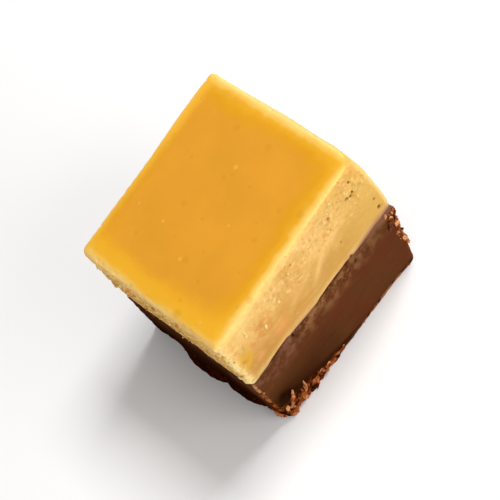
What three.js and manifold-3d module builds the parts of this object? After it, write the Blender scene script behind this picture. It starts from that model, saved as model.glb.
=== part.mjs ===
// A hand-cut piece of two-layer fudge: peanut-butter fudge poured on chocolate fudge.
//
// Frame: millimetres, +Z up. The piece rests on its flat chocolate underside at Z = 0, and the
// origin is the middle of the square block there. +X runs along its longest side, and -Y is the
// front, the cleanest of the four cut sides.
//
// The knife leaves no side quite square, so every corner of the block has its own small shift.
// Where it cut smoothly it dragged the fudge into faint level ridges, and where the fudge was
// dry it crumbled. Freeing the piece from its tray left a burr round the foot, thick on the left
// and thin on the right, which broke into flakes in front and stayed in smooth lobes down the sides.

import * as THREE from "three";
import { mergeVertices } from "three/addons/utils/BufferGeometryUtils.js";
import Module from "manifold-3d";

const wasm = await Module();
wasm.setup();

// ---- The block, in millimetres ----

const LENGTH = 30.0; // along X
const DEPTH = 27.4; // along Y
const HEIGHT = 24.4; // along Z
const JOIN_HEIGHT = 12.1; // where the peanut-butter layer meets the chocolate
const EDGE_RADIUS = 0.9; // top edges and upright edges
const GRID_STEP = 1.0; // spacing of the mesh on the sides and the top

// How far each corner stands from the square block. The foot stays level.
const CORNER_SHIFT = {
  top: {
    frontLeft: [-0.1, -0.6, -0.5],
    frontRight: [0.2, 0.4, 0.4],
    backLeft: [0.8, -0.5, -0.3],
    backRight: [0.6, 0.6, 0.6],
  },
  foot: {
    frontLeft: [0.5, 0.5, 0.0],
    frontRight: [-1.6, 0.3, 0.0],
    backLeft: [0.3, -0.2, 0.0],
    backRight: [0.2, 0.3, 0.0],
  },
};

// ---- Relief of the surface, in millimetres ----

const SIDE_WAVE = { depth: 0.28, size: 9, seed: 1 }; // slow waver of the knife
const DRAG_RIDGE = { depth: 0.1, length: 8, height: 0.9, seed: 2 };
const LUMP = { size: 1.5, share: 0.6, seed: 3 }; // crumbly fudge: lumps
const GRAIN = { size: 0.8, share: 0.4, seed: 4 }; // and the grain on them
const CRUMBLE = { depth: 0.5, inward: 0.25, fadeIn: 0.25, clearOfTop: 0.12 };
const TOP_WAVE = { depth: 0.14, size: 8, seed: 5 }; // the poured top, not quite level
const TOP_ROLL_OFF = { depth: 0.16, reach: 2.4 }; // the top sinks a little towards its edges
const BURR = { reach: 0.7, height: 3.6, size: 1.7, even: 0.2, thin: 0.13, thinFrom: 4, curve: 1.3, seed: 6 };
const BURR_LOBES = 2.6; // how many times as long its lumps are down the sides as across the front
const JOIN_WAVE = { depth: 0.4, size: 8, seed: 31 };
const JOIN_GROOVE = { depth: 0.16, height: 0.55 };
const JOIN_BOW = 1.05; // how far the front right edge bows out at the join
const WORN_CORNER = { depth: 0.6, reach: 1.9 }; // the top's front right corner, rubbed off

// How crumbly each cut side is, from 0, smooth, to 1, and from which share of the peanut-butter
// layer's height upwards. The chocolate crumbles only in a band under the join.
const SIDES = {
  front: { facing: [0, -1], crumble: 0.4, from: 0.4 },
  left: { facing: [-1, 0], crumble: 0.9, from: 0.0 },
  back: { facing: [0, 1], crumble: 1.0, from: -0.1 },
  right: { facing: [1, 0], crumble: 0.15, from: 0.3 },
};
const CHOCOLATE_CRUMBLE = { band: 4.5, fadeIn: 2.2, share: 0.7 };

// ---- Flakes fused to the fudge, in millimetres ----

const FOOT_FLAKE = { spacing: 1.9, length: 1.35, width: 0.85, thickness: 0.6, sunk: 0.25, tilt: 0.9 };
const EDGE_FLAKES = { count: 13, lowest: 3.5, highest: 10.6, band: 2.2 };
const EDGE_FLAKE = { length: 1.25, width: 0.8, thickness: 0.5 };
const CURL_FLAKE = { fromLeft: 2.5, middle: 3.1, length: 4.4, width: 1.3, thickness: 0.7, lean: 0.35 };
const PEANUT_CRUMB = { perSide: 14, length: 1.0, width: 0.7, thickness: 0.5, clearOfJoin: 0.9 };
const FEW_FLAKES = { near: 2.5, far: 7, least: 0.4 }; // they shrink from the front towards the back
const FLAKE_SIZE_SPREAD = 0.3; // share by which flakes differ in size
const FLAKE_RAGGEDNESS = 0.3; // share by which a flake's corners are pulled in or out
const FLAKE_SEED = 11;

const WELD_DISTANCE = 1e-4;
const HALF_LENGTH = LENGTH / 2;
const HALF_DEPTH = DEPTH / 2;

// ---- Small maths ----

const clamp = (value, low, high) => Math.min(high, Math.max(low, value));
const mix = (a, b, share) => a + (b - a) * share;
const smoothStep = (low, high, value) => {
  const t = clamp((value - low) / (high - low), 0, 1);
  return t * t * (3 - 2 * t);
};

/** A repeatable source of numbers in 0..1, with the usual constants of the mulberry32 generator. */
function seededRandom(seed) {
  let state = seed >>> 0;
  return () => {
    state = (state + 0x6d2b79f5) >>> 0;
    let t = Math.imul(state ^ (state >>> 15), 1 | state);
    t = (t + Math.imul(t ^ (t >>> 7), 61 | t)) ^ t;
    return ((t ^ (t >>> 14)) >>> 0) / 2 ** 32;
  };
}

/** A repeatable number in 0..1 for one corner of the noise lattice, by the usual sine hash. */
function latticeValue(i, j, k, seed) {
  const wave = Math.sin(i * 127.1 + j * 311.7 + k * 74.7 + seed * 53.3) * 43758.5453;
  return wave - Math.floor(wave);
}

/** Smooth noise in -1..1 over space, with lumps about one unit across. */
function noise(x, y, z, seed) {
  const [i, j, k] = [Math.floor(x), Math.floor(y), Math.floor(z)];
  const [u, v, w] = [smoothStep(0, 1, x - i), smoothStep(0, 1, y - j), smoothStep(0, 1, z - k)];
  let sum = 0;
  for (const [di, wi] of [[0, 1 - u], [1, u]]) {
    for (const [dj, wj] of [[0, 1 - v], [1, v]]) {
      for (const [dk, wk] of [[0, 1 - w], [1, w]]) {
        sum += wi * wj * wk * latticeValue(i + di, j + dj, k + dk, seed);
      }
    }
  }
  return 2 * sum - 1;
}

/** Noise at a point in millimetres, with lumps of the given size. */
const lumps = (x, y, z, { size, seed }) => noise(x / size, y / size, z / size, seed);

// ---- The surface of the block ----

/** The nearest point of the block's core, which lies one edge radius inside its sides and top. */
function corePoint(x, y, z) {
  return [
    clamp(x, -HALF_LENGTH + EDGE_RADIUS, HALF_LENGTH - EDGE_RADIUS),
    clamp(y, -HALF_DEPTH + EDGE_RADIUS, HALF_DEPTH - EDGE_RADIUS),
    Math.min(z, HEIGHT - EDGE_RADIUS),
  ];
}

/** How crumbly one side is at a height, from 0 to 1. */
function sideCrumble({ crumble, from }, z) {
  const overJoin = z - JOIN_HEIGHT;
  if (overJoin < 0) {
    const { band, fadeIn, share } = CHOCOLATE_CRUMBLE;
    return crumble * share * smoothStep(-band, -band + fadeIn, overJoin);
  }
  const up = overJoin / (HEIGHT - JOIN_HEIGHT);
  return crumble * smoothStep(from, from + CRUMBLE.fadeIn, up) * smoothStep(1, 1 - CRUMBLE.clearOfTop, up);
}

/** How far loose lumps and grain raise the surface, blended round the corners from side to side. */
function crumbRelief(x, y, z, normal) {
  let crumble = 0;
  for (const side of Object.values(SIDES)) {
    const facing = Math.max(0, normal[0] * side.facing[0] + normal[1] * side.facing[1]);
    crumble += facing ** 2 * sideCrumble(side, z);
  }
  const rough = LUMP.share * lumps(x, y, z, LUMP) + GRAIN.share * lumps(x, y, z, GRAIN);
  return CRUMBLE.depth * crumble * (rough - CRUMBLE.inward);
}

/** How thick the burr is, from 1 at the left end of the block to its thin share at the right. */
const burrShare = (x) => mix(1, BURR.thin, smoothStep(-HALF_LENGTH, BURR.thinFrom, x));

/** The ragged lip that the foot pushes out over the table. */
function burrRelief(x, y, z) {
  const share = burrShare(x);
  const fall = clamp(1 - z / (BURR.height * share), 0, 1) ** BURR.curve;
  const ragged = mix(BURR.even, 1, 0.5 + 0.5 * lumps(x, y / BURR_LOBES, z, BURR));
  return BURR.reach * share * fall * ragged;
}

/** How far an upright wall stands out of the smooth block. */
function wallRelief(x, y, z, normal) {
  const { depth, length, height, seed } = DRAG_RIDGE;
  const ridge = depth * noise(x / length, y / length, z / height, seed);
  const groove = -JOIN_GROOVE.depth * Math.exp(-(((z - JOIN_HEIGHT) / JOIN_GROOVE.height) ** 2));
  const wave = SIDE_WAVE.depth * lumps(x, y, z, SIDE_WAVE);
  return wave + ridge + groove + crumbRelief(x, y, z, normal) + burrRelief(x, y, z);
}

/** How far the poured top stands above the smooth block. */
function topRelief(x, y) {
  const toEdge = Math.min(HALF_LENGTH - Math.abs(x), HALF_DEPTH - Math.abs(y));
  const rollOff = TOP_ROLL_OFF.depth * smoothStep(TOP_ROLL_OFF.reach, 0, toEdge);
  return TOP_WAVE.depth * lumps(x, y, 0, TOP_WAVE) - rollOff;
}

/** How far the rubbed corner has lost its surface. */
function wornRelief(x, y, z) {
  const away = Math.hypot(x - HALF_LENGTH, y + HALF_DEPTH, z - HEIGHT) / WORN_CORNER.reach;
  return -WORN_CORNER.depth * Math.exp(-(away ** 2));
}

/** How far the join bows out on the right, and rises or falls, fading towards the top and the foot. */
function joinShift(x, y, z) {
  const fade = clamp(z > JOIN_HEIGHT ? (HEIGHT - z) / (HEIGHT - JOIN_HEIGHT) : z / JOIN_HEIGHT, 0, 1);
  const nearCorner = clamp(x / LENGTH + 0.5, 0, 1) * clamp(0.5 - y / DEPTH, 0, 1);
  return [JOIN_BOW * fade * nearCorner, JOIN_WAVE.depth * fade * lumps(x, y, 0, JOIN_WAVE)];
}

/** The shift of the hand-cut block at a point, blended from its eight corners. */
function cornerShift(x, y, z) {
  const right = clamp(x / LENGTH + 0.5, 0, 1);
  const back = clamp(y / DEPTH + 0.5, 0, 1);
  const up = clamp(z / HEIGHT, 0, 1);
  const level = (corners, axis) =>
    mix(
      mix(corners.frontLeft[axis], corners.frontRight[axis], right),
      mix(corners.backLeft[axis], corners.backRight[axis], right),
      back,
    );
  return [0, 1, 2].map((axis) => mix(level(CORNER_SHIFT.foot, axis), level(CORNER_SHIFT.top, axis), up));
}

/** Turns a point of the plain square block into the matching point of the fudge. */
function fudgePoint(x, y, z) {
  const core = corePoint(x, y, z);
  const normal = new THREE.Vector3(x - core[0], y - core[1], z - core[2]).normalize().toArray();
  const upright = 1 - normal[2] ** 2;
  const relief = mix(topRelief(x, y), wallRelief(x, y, z, normal), upright) + wornRelief(x, y, z);
  const reach = EDGE_RADIUS + relief;
  const shift = cornerShift(x, y, z);
  const [bow, rise] = joinShift(x, y, z);
  shift[0] += bow;
  shift[2] += rise;
  return core.map((c, axis) => c + normal[axis] * reach + shift[axis]);
}

// ---- The mesh of a layer ----

/** Grid lines across a span: close together over a rounded end, and even between. */
function gridLines(low, high, roundLow, roundHigh) {
  const near = (1 - Math.tan(Math.PI / 8)) * EDGE_RADIUS;
  const start = roundLow ? [low, low + near, low + EDGE_RADIUS] : [low];
  const end = roundHigh ? [high - EDGE_RADIUS, high - near, high] : [high];
  const from = start[start.length - 1];
  const steps = Math.round((end[0] - from) / GRID_STEP);
  const between = Array.from({ length: steps - 1 }, (_, n) => mix(from, end[0], (n + 1) / steps));
  return [...start, ...between, ...end];
}

const LINES_X = gridLines(-HALF_LENGTH, HALF_LENGTH, true, true);
const LINES_Y = gridLines(-HALF_DEPTH, HALF_DEPTH, true, true);

/** The outline of the square block, counter-clockwise from above, as pairs of grid lines. */
function outline() {
  const lastX = LINES_X.length - 1;
  const lastY = LINES_Y.length - 1;
  return [
    ...LINES_X.slice(1).map((_, n) => [n, 0]),
    ...LINES_Y.slice(1).map((_, n) => [lastX, n]),
    ...LINES_X.slice(1).map((_, n) => [lastX - n, lastY]),
    ...LINES_Y.slice(1).map((_, n) => [0, lastY - n]),
  ];
}

/** One layer of the block as a closed mesh: walls between its heights, a lid and an underside. */
class LayerMesh {
  constructor(heights) {
    this.positions = [];
    this.triangles = [];
    this.topHeight = heights[heights.length - 1];
    const rings = heights.map((z) => this.addRing(z));
    this.topRing = rings[rings.length - 1];
    rings.slice(1).forEach((ring, n) => this.addWall(rings[n], ring));
    for (const [a, b, c] of this.flatFill(rings[0])) this.triangles.push(a, c, b);
  }

  addPoint(x, y, z) {
    this.positions.push(...fudgePoint(x, y, z));
    return this.positions.length / 3 - 1;
  }

  addRing(z) {
    return outline().map(([i, j]) => this.addPoint(LINES_X[i], LINES_Y[j], z));
  }

  addQuad(a, b, c, d) {
    this.triangles.push(a, b, c, a, c, d);
  }

  addWall(lower, upper) {
    lower.forEach((corner, n) => {
      const next = (n + 1) % lower.length;
      this.addQuad(corner, lower[next], upper[next], upper[n]);
    });
  }

  /** Triangles between the points of a ring, facing up. */
  flatFill(ring) {
    const contour = ring.map((n) => new THREE.Vector2(this.positions[3 * n], this.positions[3 * n + 1]));
    return THREE.ShapeUtils.triangulateShape(contour, []).map((corners) => corners.map((n) => ring[n]));
  }

  /** Closes the top with triangles between the points of its ring. */
  addFlatLid() {
    this.triangles.push(...this.flatFill(this.topRing).flat());
    return this;
  }

  /** Closes the top with a full grid, so that the poured surface can roll. */
  addRollingLid() {
    const onRim = new Map(outline().map((lines, n) => [lines.join(), this.topRing[n]]));
    const at = LINES_X.map((x, i) =>
      LINES_Y.map((y, j) => onRim.get([i, j].join()) ?? this.addPoint(x, y, this.topHeight)),
    );
    for (let i = 1; i < LINES_X.length; i++) {
      for (let j = 1; j < LINES_Y.length; j++) {
        this.addQuad(at[i - 1][j - 1], at[i][j - 1], at[i][j], at[i - 1][j]);
      }
    }
    return this;
  }

  geometry() {
    return new THREE.BufferGeometry()
      .setAttribute("position", new THREE.Float32BufferAttribute(this.positions, 3))
      .setIndex(this.triangles);
  }
}

// ---- Solids that can be joined ----

/** A closed geometry as a solid. Only its positions count. */
function solidFrom(geometry) {
  const { position } = geometry.attributes;
  const bare = new THREE.BufferGeometry().setAttribute("position", position).setIndex(geometry.index);
  const welded = mergeVertices(bare, WELD_DISTANCE);
  const mesh = new wasm.Mesh({
    numProp: 3,
    vertProperties: welded.attributes.position.array,
    triVerts: new Uint32Array(welded.index.array),
  });
  return new wasm.Manifold(mesh);
}

/** A solid back as a geometry. */
function geometryFrom(solid) {
  const { vertProperties, triVerts } = solid.getMesh();
  const geometry = new THREE.BufferGeometry()
    .setAttribute("position", new THREE.Float32BufferAttribute(vertProperties, 3))
    .setIndex(new THREE.Uint32BufferAttribute(triVerts, 1));
  geometry.computeVertexNormals();
  return geometry;
}

/** Joins flakes to a layer and keeps the one large body, without loose scraps. */
function fuse(geometry, flakes) {
  const whole = flakes.reduce((sum, flake) => sum.add(flake), solidFrom(geometry));
  const bodies = whole.decompose().sort((a, b) => b.volume() - a.volume());
  return geometryFrom(bodies[0]);
}

// ---- Flakes ----

/** Every flake is drawn from here, so the order of the functions below settles their shapes. */
const random = seededRandom(FLAKE_SEED);
const randomBetween = (low, high) => mix(low, high, random());
const anyTurn = () => new THREE.Euler(Math.PI * random(), Math.PI * random(), Math.PI * random());

/** A ragged flake, longest along its own X, turned and set at a point, and cut off below a height. */
function flake({ length, width, thickness }, point, turn, lowest) {
  const ball = new THREE.IcosahedronGeometry(0.5, 0).attributes.position;
  const shape = mergeVertices(new THREE.BufferGeometry().setAttribute("position", ball), WELD_DISTANCE);
  const { position } = shape.attributes;
  const place = new THREE.Matrix4().makeRotationFromEuler(turn).setPosition(...point);
  const size = new THREE.Vector3(length, width, thickness);
  for (let n = 0; n < position.count; n++) {
    const pull = 1 + FLAKE_RAGGEDNESS * randomBetween(-1, 1);
    const corner = new THREE.Vector3().fromBufferAttribute(position, n);
    corner.multiply(size).multiplyScalar(pull).applyMatrix4(place);
    position.setXYZ(n, corner.x, corner.y, Math.max(lowest, corner.z));
  }
  return solidFrom(shape);
}

/** A kind of flake, with its three sizes scaled. */
function scaled({ length, width, thickness }, share) {
  return { length: length * share, width: width * share, thickness: thickness * share };
}

/** A place on one side of the square block, from -1 to 1 along it. */
function sidePlace({ facing: [fx, fy] }, along) {
  return {
    x: fx * HALF_LENGTH + Math.abs(fy) * along * (HALF_LENGTH - EDGE_RADIUS),
    y: fy * HALF_DEPTH + Math.abs(fx) * along * (HALF_DEPTH - EDGE_RADIUS),
  };
}

/** How large the flakes of the burr are, as a share: largest at the front left corner. */
function flakeShare(x, y) {
  const { near, far, least } = FEW_FLAKES;
  return Math.max(BURR.thin, burrShare(x) * mix(least, 1, smoothStep(far, near, y + HALF_DEPTH)));
}

/** The flakes of the burr, round all four sides of the foot. */
function footFlakes() {
  return Object.values(SIDES).flatMap((side) => {
    const [fx, fy] = side.facing;
    const count = Math.round((fx ? DEPTH : LENGTH) / FOOT_FLAKE.spacing);
    return Array.from({ length: count }, (_, n) => {
      const { x, y } = sidePlace(side, (2 * (n + random())) / count - 1);
      const share = flakeShare(x, y) * randomBetween(1 - FLAKE_SIZE_SPREAD, 1 + FLAKE_SIZE_SPREAD);
      const [px, py, pz] = fudgePoint(x, y, BURR.height * burrShare(x) * randomBetween(0.1, 0.75));
      const sunk = FOOT_FLAKE.sunk * share * random();
      const along = Math.atan2(fx, -fy);
      const tilt = () => FOOT_FLAKE.tilt * randomBetween(-0.5, 0.5);
      const turn = new THREE.Euler(tilt(), tilt(), along + tilt(), "ZYX");
      return flake(scaled(FOOT_FLAKE, share), [px - fx * sunk, py - fy * sunk, pz], turn, 0);
    });
  });
}

/** The flakes that the knife tore out down the front right edge of the chocolate. */
function edgeFlakes() {
  const { count, lowest, highest, band } = EDGE_FLAKES;
  return Array.from({ length: count }, (_, n) => {
    const z = mix(lowest, highest, (n + random()) / count);
    const point = fudgePoint(HALF_LENGTH, -HALF_DEPTH + band * random(), z);
    const share = randomBetween(1 - FLAKE_SIZE_SPREAD, 1 + FLAKE_SIZE_SPREAD);
    return flake(scaled(EDGE_FLAKE, share), point, anyTurn(), 0);
  });
}

/** The one long curl that stands up beside the front left corner of the foot. */
function curlFlake() {
  const { fromLeft, middle, lean } = CURL_FLAKE;
  const upright = new THREE.Euler(lean, lean - Math.PI / 2, 0);
  return flake(CURL_FLAKE, fudgePoint(-HALF_LENGTH + fromLeft, -HALF_DEPTH, middle), upright, 0);
}

/** Crumbs on the two crumbly sides of the peanut-butter layer. */
function peanutCrumbs() {
  const lowest = JOIN_HEIGHT + PEANUT_CRUMB.clearOfJoin;
  return [SIDES.left, SIDES.back].flatMap((side) =>
    Array.from({ length: PEANUT_CRUMB.perSide }, (_, n) => {
      const { x, y } = sidePlace(side, (2 * (n + random())) / PEANUT_CRUMB.perSide - 1);
      const z = randomBetween(lowest + PEANUT_CRUMB.length / 2, HEIGHT - EDGE_RADIUS);
      const share = randomBetween(1 - FLAKE_SIZE_SPREAD, 1 + FLAKE_SIZE_SPREAD);
      return flake(scaled(PEANUT_CRUMB, share), fudgePoint(x, y, z), anyTurn(), lowest);
    }),
  );
}

// ---- The two layers ----

function chocolateLayer() {
  const overBurr = gridLines(BURR.height, JOIN_HEIGHT, false, false);
  const heights = [0, 0.25, 0.5, 0.75].map((share) => share * BURR.height).concat(overBurr);
  const geometry = new LayerMesh(heights).addFlatLid().geometry();
  const material = new THREE.MeshStandardMaterial({ color: 0x5c3018, roughness: 0.42, metalness: 0 });
  const mesh = new THREE.Mesh(fuse(geometry, [...footFlakes(), ...edgeFlakes(), curlFlake()]), material);
  mesh.name = "chocolate_layer";
  return mesh;
}

function peanutButterLayer() {
  const geometry = new LayerMesh(gridLines(JOIN_HEIGHT, HEIGHT, false, true)).addRollingLid().geometry();
  const material = new THREE.MeshStandardMaterial({ color: 0xe4a03a, roughness: 0.5, metalness: 0 });
  const mesh = new THREE.Mesh(fuse(geometry, peanutCrumbs()), material);
  mesh.name = "peanut_butter_layer";
  return mesh;
}

/** The whole piece. */
function fudgePiece() {
  return new THREE.Group().add(chocolateLayer(), peanutButterLayer());
}

export default fudgePiece();
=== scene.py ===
"""A hand-cut cube of fudge, dressed for rendering: peanut-butter fudge poured on chocolate fudge.

Sizes are in millimetres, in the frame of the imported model: +Z up, the origin in the middle of the
square block's foot, -Y out of the cleanest cut side. Meshes are made in metres.

Each layer is a dense closed mesh over the form of its solid. Geometry nodes then raise its crumbs
and sink its pores, and strew the loose crumbs. The larger flakes stand where the solids have them.
"""

import logging
import math
from collections.abc import Callable, Iterator, Mapping
from dataclasses import dataclass, field, fields, replace
from enum import Enum
from itertools import combinations, product
from typing import Any

import bpy
import numpy as np
from mathutils import Euler, Matrix, Vector

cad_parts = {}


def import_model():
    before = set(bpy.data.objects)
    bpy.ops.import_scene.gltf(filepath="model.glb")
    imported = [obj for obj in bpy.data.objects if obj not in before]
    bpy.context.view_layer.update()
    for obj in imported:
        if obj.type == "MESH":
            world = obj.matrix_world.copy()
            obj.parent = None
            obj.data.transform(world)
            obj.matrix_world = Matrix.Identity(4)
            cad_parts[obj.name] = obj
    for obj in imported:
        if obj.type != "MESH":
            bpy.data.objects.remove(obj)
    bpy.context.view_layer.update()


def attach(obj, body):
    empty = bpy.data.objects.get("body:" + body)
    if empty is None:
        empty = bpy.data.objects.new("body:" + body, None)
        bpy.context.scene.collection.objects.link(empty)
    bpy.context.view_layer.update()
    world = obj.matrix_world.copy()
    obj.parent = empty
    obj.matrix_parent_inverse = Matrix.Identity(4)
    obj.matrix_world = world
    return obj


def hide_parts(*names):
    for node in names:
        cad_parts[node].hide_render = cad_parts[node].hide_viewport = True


log = logging.getLogger("fudge")

Array = np.ndarray
Mesh = bpy.types.Mesh
Material = bpy.types.Material
Object = bpy.types.Object
Color = tuple[float, float, float, float]
Triple = tuple[float, float, float]
Tones = tuple[tuple[float, Color], ...]

MM = 0.001
BODY = "root"
FLAKE_SEED = 11

PEANUT_SLOT = "peanut_butter_fudge"
CHOCOLATE_SLOT = "chocolate_fudge"

WHITE = (1.0, 1.0, 1.0, 1.0)
NOISE_MIDDLE = 0.5
# A share times what is left of it comes to a quarter at most, which this brings to 1.
BAND_PEAK = 4


# ---- Small maths ----


def srgb(red: int, green: int, blue: int) -> Color:
    """A colour as it looks on a screen, turned into linear light.

    Args:
        red: From 0 to 255.
        green: From 0 to 255.
        blue: From 0 to 255.

    Returns:
        The linear colour, opaque.
    """

    def linear(byte: int) -> float:
        """One channel in linear light."""
        share = byte / 255
        return share / 12.92 if share <= 0.04045 else ((share + 0.055) / 1.055) ** 2.4

    return (linear(red), linear(green), linear(blue), 1.0)


def mix(a: Any, b: Any, share: Any) -> Any:
    """The value that lies the given share of the way from a to b."""
    return a + (b - a) * share


def smooth_step(low: float, high: float, value: Any) -> Any:
    """A share that rises smoothly from 0 at low to 1 at high, which may be the smaller one."""
    t = np.clip((value - low) / (high - low), 0.0, 1.0)
    return t * t * (3 - 2 * t)


@dataclass(frozen=True)
class Span:
    """A stretch of values from its start to its end, which may be the smaller one."""

    start: float
    end: float

    def rise(self, value: Any) -> Any:
        """A share that rises smoothly from 0 at the start to 1 at the end, of numbers or a wire."""
        if isinstance(value, Wire):
            return value.smooth(self.start, self.end)
        return smooth_step(self.start, self.end, value)

    def at(self, share: Any) -> Any:
        """The value that lies the given share of the way along it."""
        return share * (self.end - self.start) + self.start

    def back_from(self, limit: float) -> "Span":
        """The stretch whose ends lie this one's start and end short of a limit."""
        return Span(limit - self.start, limit - self.end)


def lattice_value(i: Any, j: Any, k: Any, seed: float) -> Any:
    """A repeatable number in 0..1 for one corner of the noise lattice, by the usual sine hash."""
    wave = np.sin(i * 127.1 + j * 311.7 + k * 74.7 + seed * 53.3) * 43758.5453
    return wave - np.floor(wave)


@dataclass(frozen=True)
class Swell:
    """Smooth lumps that raise and lower a surface.

    Attributes:
        size: How far apart the lumps are, in millimetres.
        seed: Which lumps they are.
        depth: How far they rise and fall, in millimetres or as a share.
        flatness: How many times as low as wide they are.
    """

    size: float
    seed: int
    depth: float = 1.0
    flatness: float = 1.0

    def at(self, x: Any, y: Any, z: Any) -> Array:
        """The height of the lumps at points in millimetres."""
        place = np.broadcast_arrays(x / self.size, y / self.size, z * self.flatness / self.size)
        cell = [np.floor(axis) for axis in place]
        share = [smooth_step(0, 1, axis - corner) for axis, corner in zip(place, cell)]
        total = np.zeros(place[0].shape)
        for step in product((0, 1), repeat=3):
            weight = np.ones(place[0].shape)
            for part, up in zip(share, step):
                weight = weight * (part if up else 1 - part)
            corner = [axis + up for axis, up in zip(cell, step)]
            total += weight * lattice_value(*corner, self.seed)
        return self.depth * (2 * total - 1)


# ---- The form of the block ----


@dataclass(frozen=True)
class CutSide:
    """One cut side: which way it faces, and how the fudge broke there.

    Attributes:
        facing: Its direction in plan.
        crumble: How crumbly it is, from 0, smooth, to 1.
        from_share: The share of the peanut-butter layer's height from which it crumbles.
        porous: How many pores the knife left open, from 0 to 1.
        rim: How wide the painted highlight along the top's edge is on this side, as a share.
    """

    facing: tuple[int, int]
    crumble: float
    from_share: float
    porous: float
    rim: float


class Side(Enum):
    """The four cut sides, in the order in which their flakes are drawn."""

    FRONT = CutSide((0, -1), 0.4, 0.4, 1.0, 1.05)
    LEFT = CutSide((-1, 0), 0.9, 0.0, 0.6, 1.0)
    BACK = CutSide((0, 1), 1.0, -0.1, 0.7, 0.55)
    RIGHT = CutSide((1, 0), 0.15, 0.3, 0.8, 1.2)


@dataclass(frozen=True)
class Corners:
    """How far the four corners of one level stand from the square block."""

    front_left: Triple
    front_right: Triple
    back_left: Triple
    back_right: Triple

    def blend(self, right: Array, back: Array) -> Array:
        """The shift at points that lie these shares of the way to the right and to the back."""
        right, back = right[:, None], back[:, None]
        front = mix(np.array(self.front_left), np.array(self.front_right), right)
        rear = mix(np.array(self.back_left), np.array(self.back_right), right)
        return mix(front, rear, back)


@dataclass(frozen=True)
class Spot:
    """One soft spot on the front: its place along X and Z, half its width, and how deep it is sunk."""

    x: float
    z: float
    radius: float
    depth: float = 0.0

    def share(self, x: Array, z: Array) -> Array:
        """How much of a point lies in it, from 0 to 1."""
        return np.exp(-((x - self.x) ** 2 + (z - self.z) ** 2) / self.radius**2)


@dataclass(frozen=True)
class PoreStreak:
    """A streak of open pores that dips towards the left of the front.

    The pale smear lies a few half heights lower, and ends a little way past where it is level.
    """

    left: float = -1.0
    fade_in: float = 3.0
    level_from: float = 5.0
    low: float = 16.8
    high: float = 20.1
    half_height: float = 0.75
    smear_drop: float = 2.2
    smear_end: float = 5.0

    def mask(self, x: Array, z: Array) -> Array:
        """How much of a point lies in it, from 0 to 1."""
        middle = mix(self.low, self.high, smooth_step(self.left, self.level_from, x))
        near = np.exp(-(((z - middle) / self.half_height) ** 2))
        return near * smooth_step(self.left, self.left + self.fade_in, x)

    def under(self, x: Array, z: Array) -> Array:
        """How much of a point lies in the pale smear that the knife left just below it."""
        fade = smooth_step(self.level_from + self.smear_end, self.level_from, x)
        return self.mask(x, z + self.half_height * self.smear_drop) * fade


@dataclass(frozen=True)
class Lobe:
    """A smooth lobe of the foot: its place along a side, half its width, and how far it stands out."""

    middle: float
    half_width: float
    reach: float

    FLATNESS = 4

    def relief(self, along: Array) -> Array:
        """How far it stands out at places along the side."""
        away = (along - self.middle) / self.half_width
        return self.reach * np.exp(-(away**self.FLATNESS))


@dataclass(frozen=True)
class Burr:
    """The ragged lip that the foot pushes out over the table, thick on the left.

    Down the sides its lumps are longer. On the left it stands out in smooth lobes instead. Its
    flakes are largest in front, and shrink to the least share of that between the near and the
    far distance from the front.
    """

    reach: float = 0.7
    height: float = 3.6
    even: float = 0.2
    thin: float = 0.13
    thin_from: float = 4.0
    curve: float = 1.3
    stretch: float = 2.6
    left_lobes: tuple[Lobe, ...] = (Lobe(2.2, 4.7, 1.1), Lobe(-5.2, 3.7, 0.85))
    left_smooth: float = 0.65
    near: float = 2.5
    far: float = 7.0
    least: float = 0.4
    ragged: Swell = Swell(1.7, 6)

    def flaky(self, from_front: Any) -> Any:
        """How much it has broken into flakes, from its least share to 1 at the front."""
        return mix(self.least, 1.0, smooth_step(self.far, self.near, from_front))

    def share(self, x: Any, half_length: float) -> Any:
        """How thick it is, from 1 at the left end of the block to its thin share at the right."""
        return mix(1.0, self.thin, smooth_step(-half_length, self.thin_from, x))

    def mask(self, x: Array, z: Array, half_length: float) -> Array:
        """How much of a point is burr, from 0 to 1."""
        fall = np.clip(1 - z / (self.height * self.share(x, half_length)), 0, 1)
        return fall**self.curve

    def relief(self, x: Array, y: Array, z: Array, half_length: float, left: Array) -> Array:
        """How far it stands out, in millimetres, where the left side has this share of a point."""
        ragged = mix(self.even, 1, 0.5 + 0.5 * self.ragged.at(x, y / self.stretch, z))
        lobed = np.max([lobe.relief(y) for lobe in self.left_lobes], axis=0)
        out = mix(self.reach * ragged, lobed, left)
        return out * self.share(x, half_length) * self.mask(x, z, half_length)


@dataclass(frozen=True)
class Surface:
    """Points on the fudge, with what the finishes and the relief need to know about them."""

    places: Array
    facing: Array
    masks: dict[str, Array]


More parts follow.
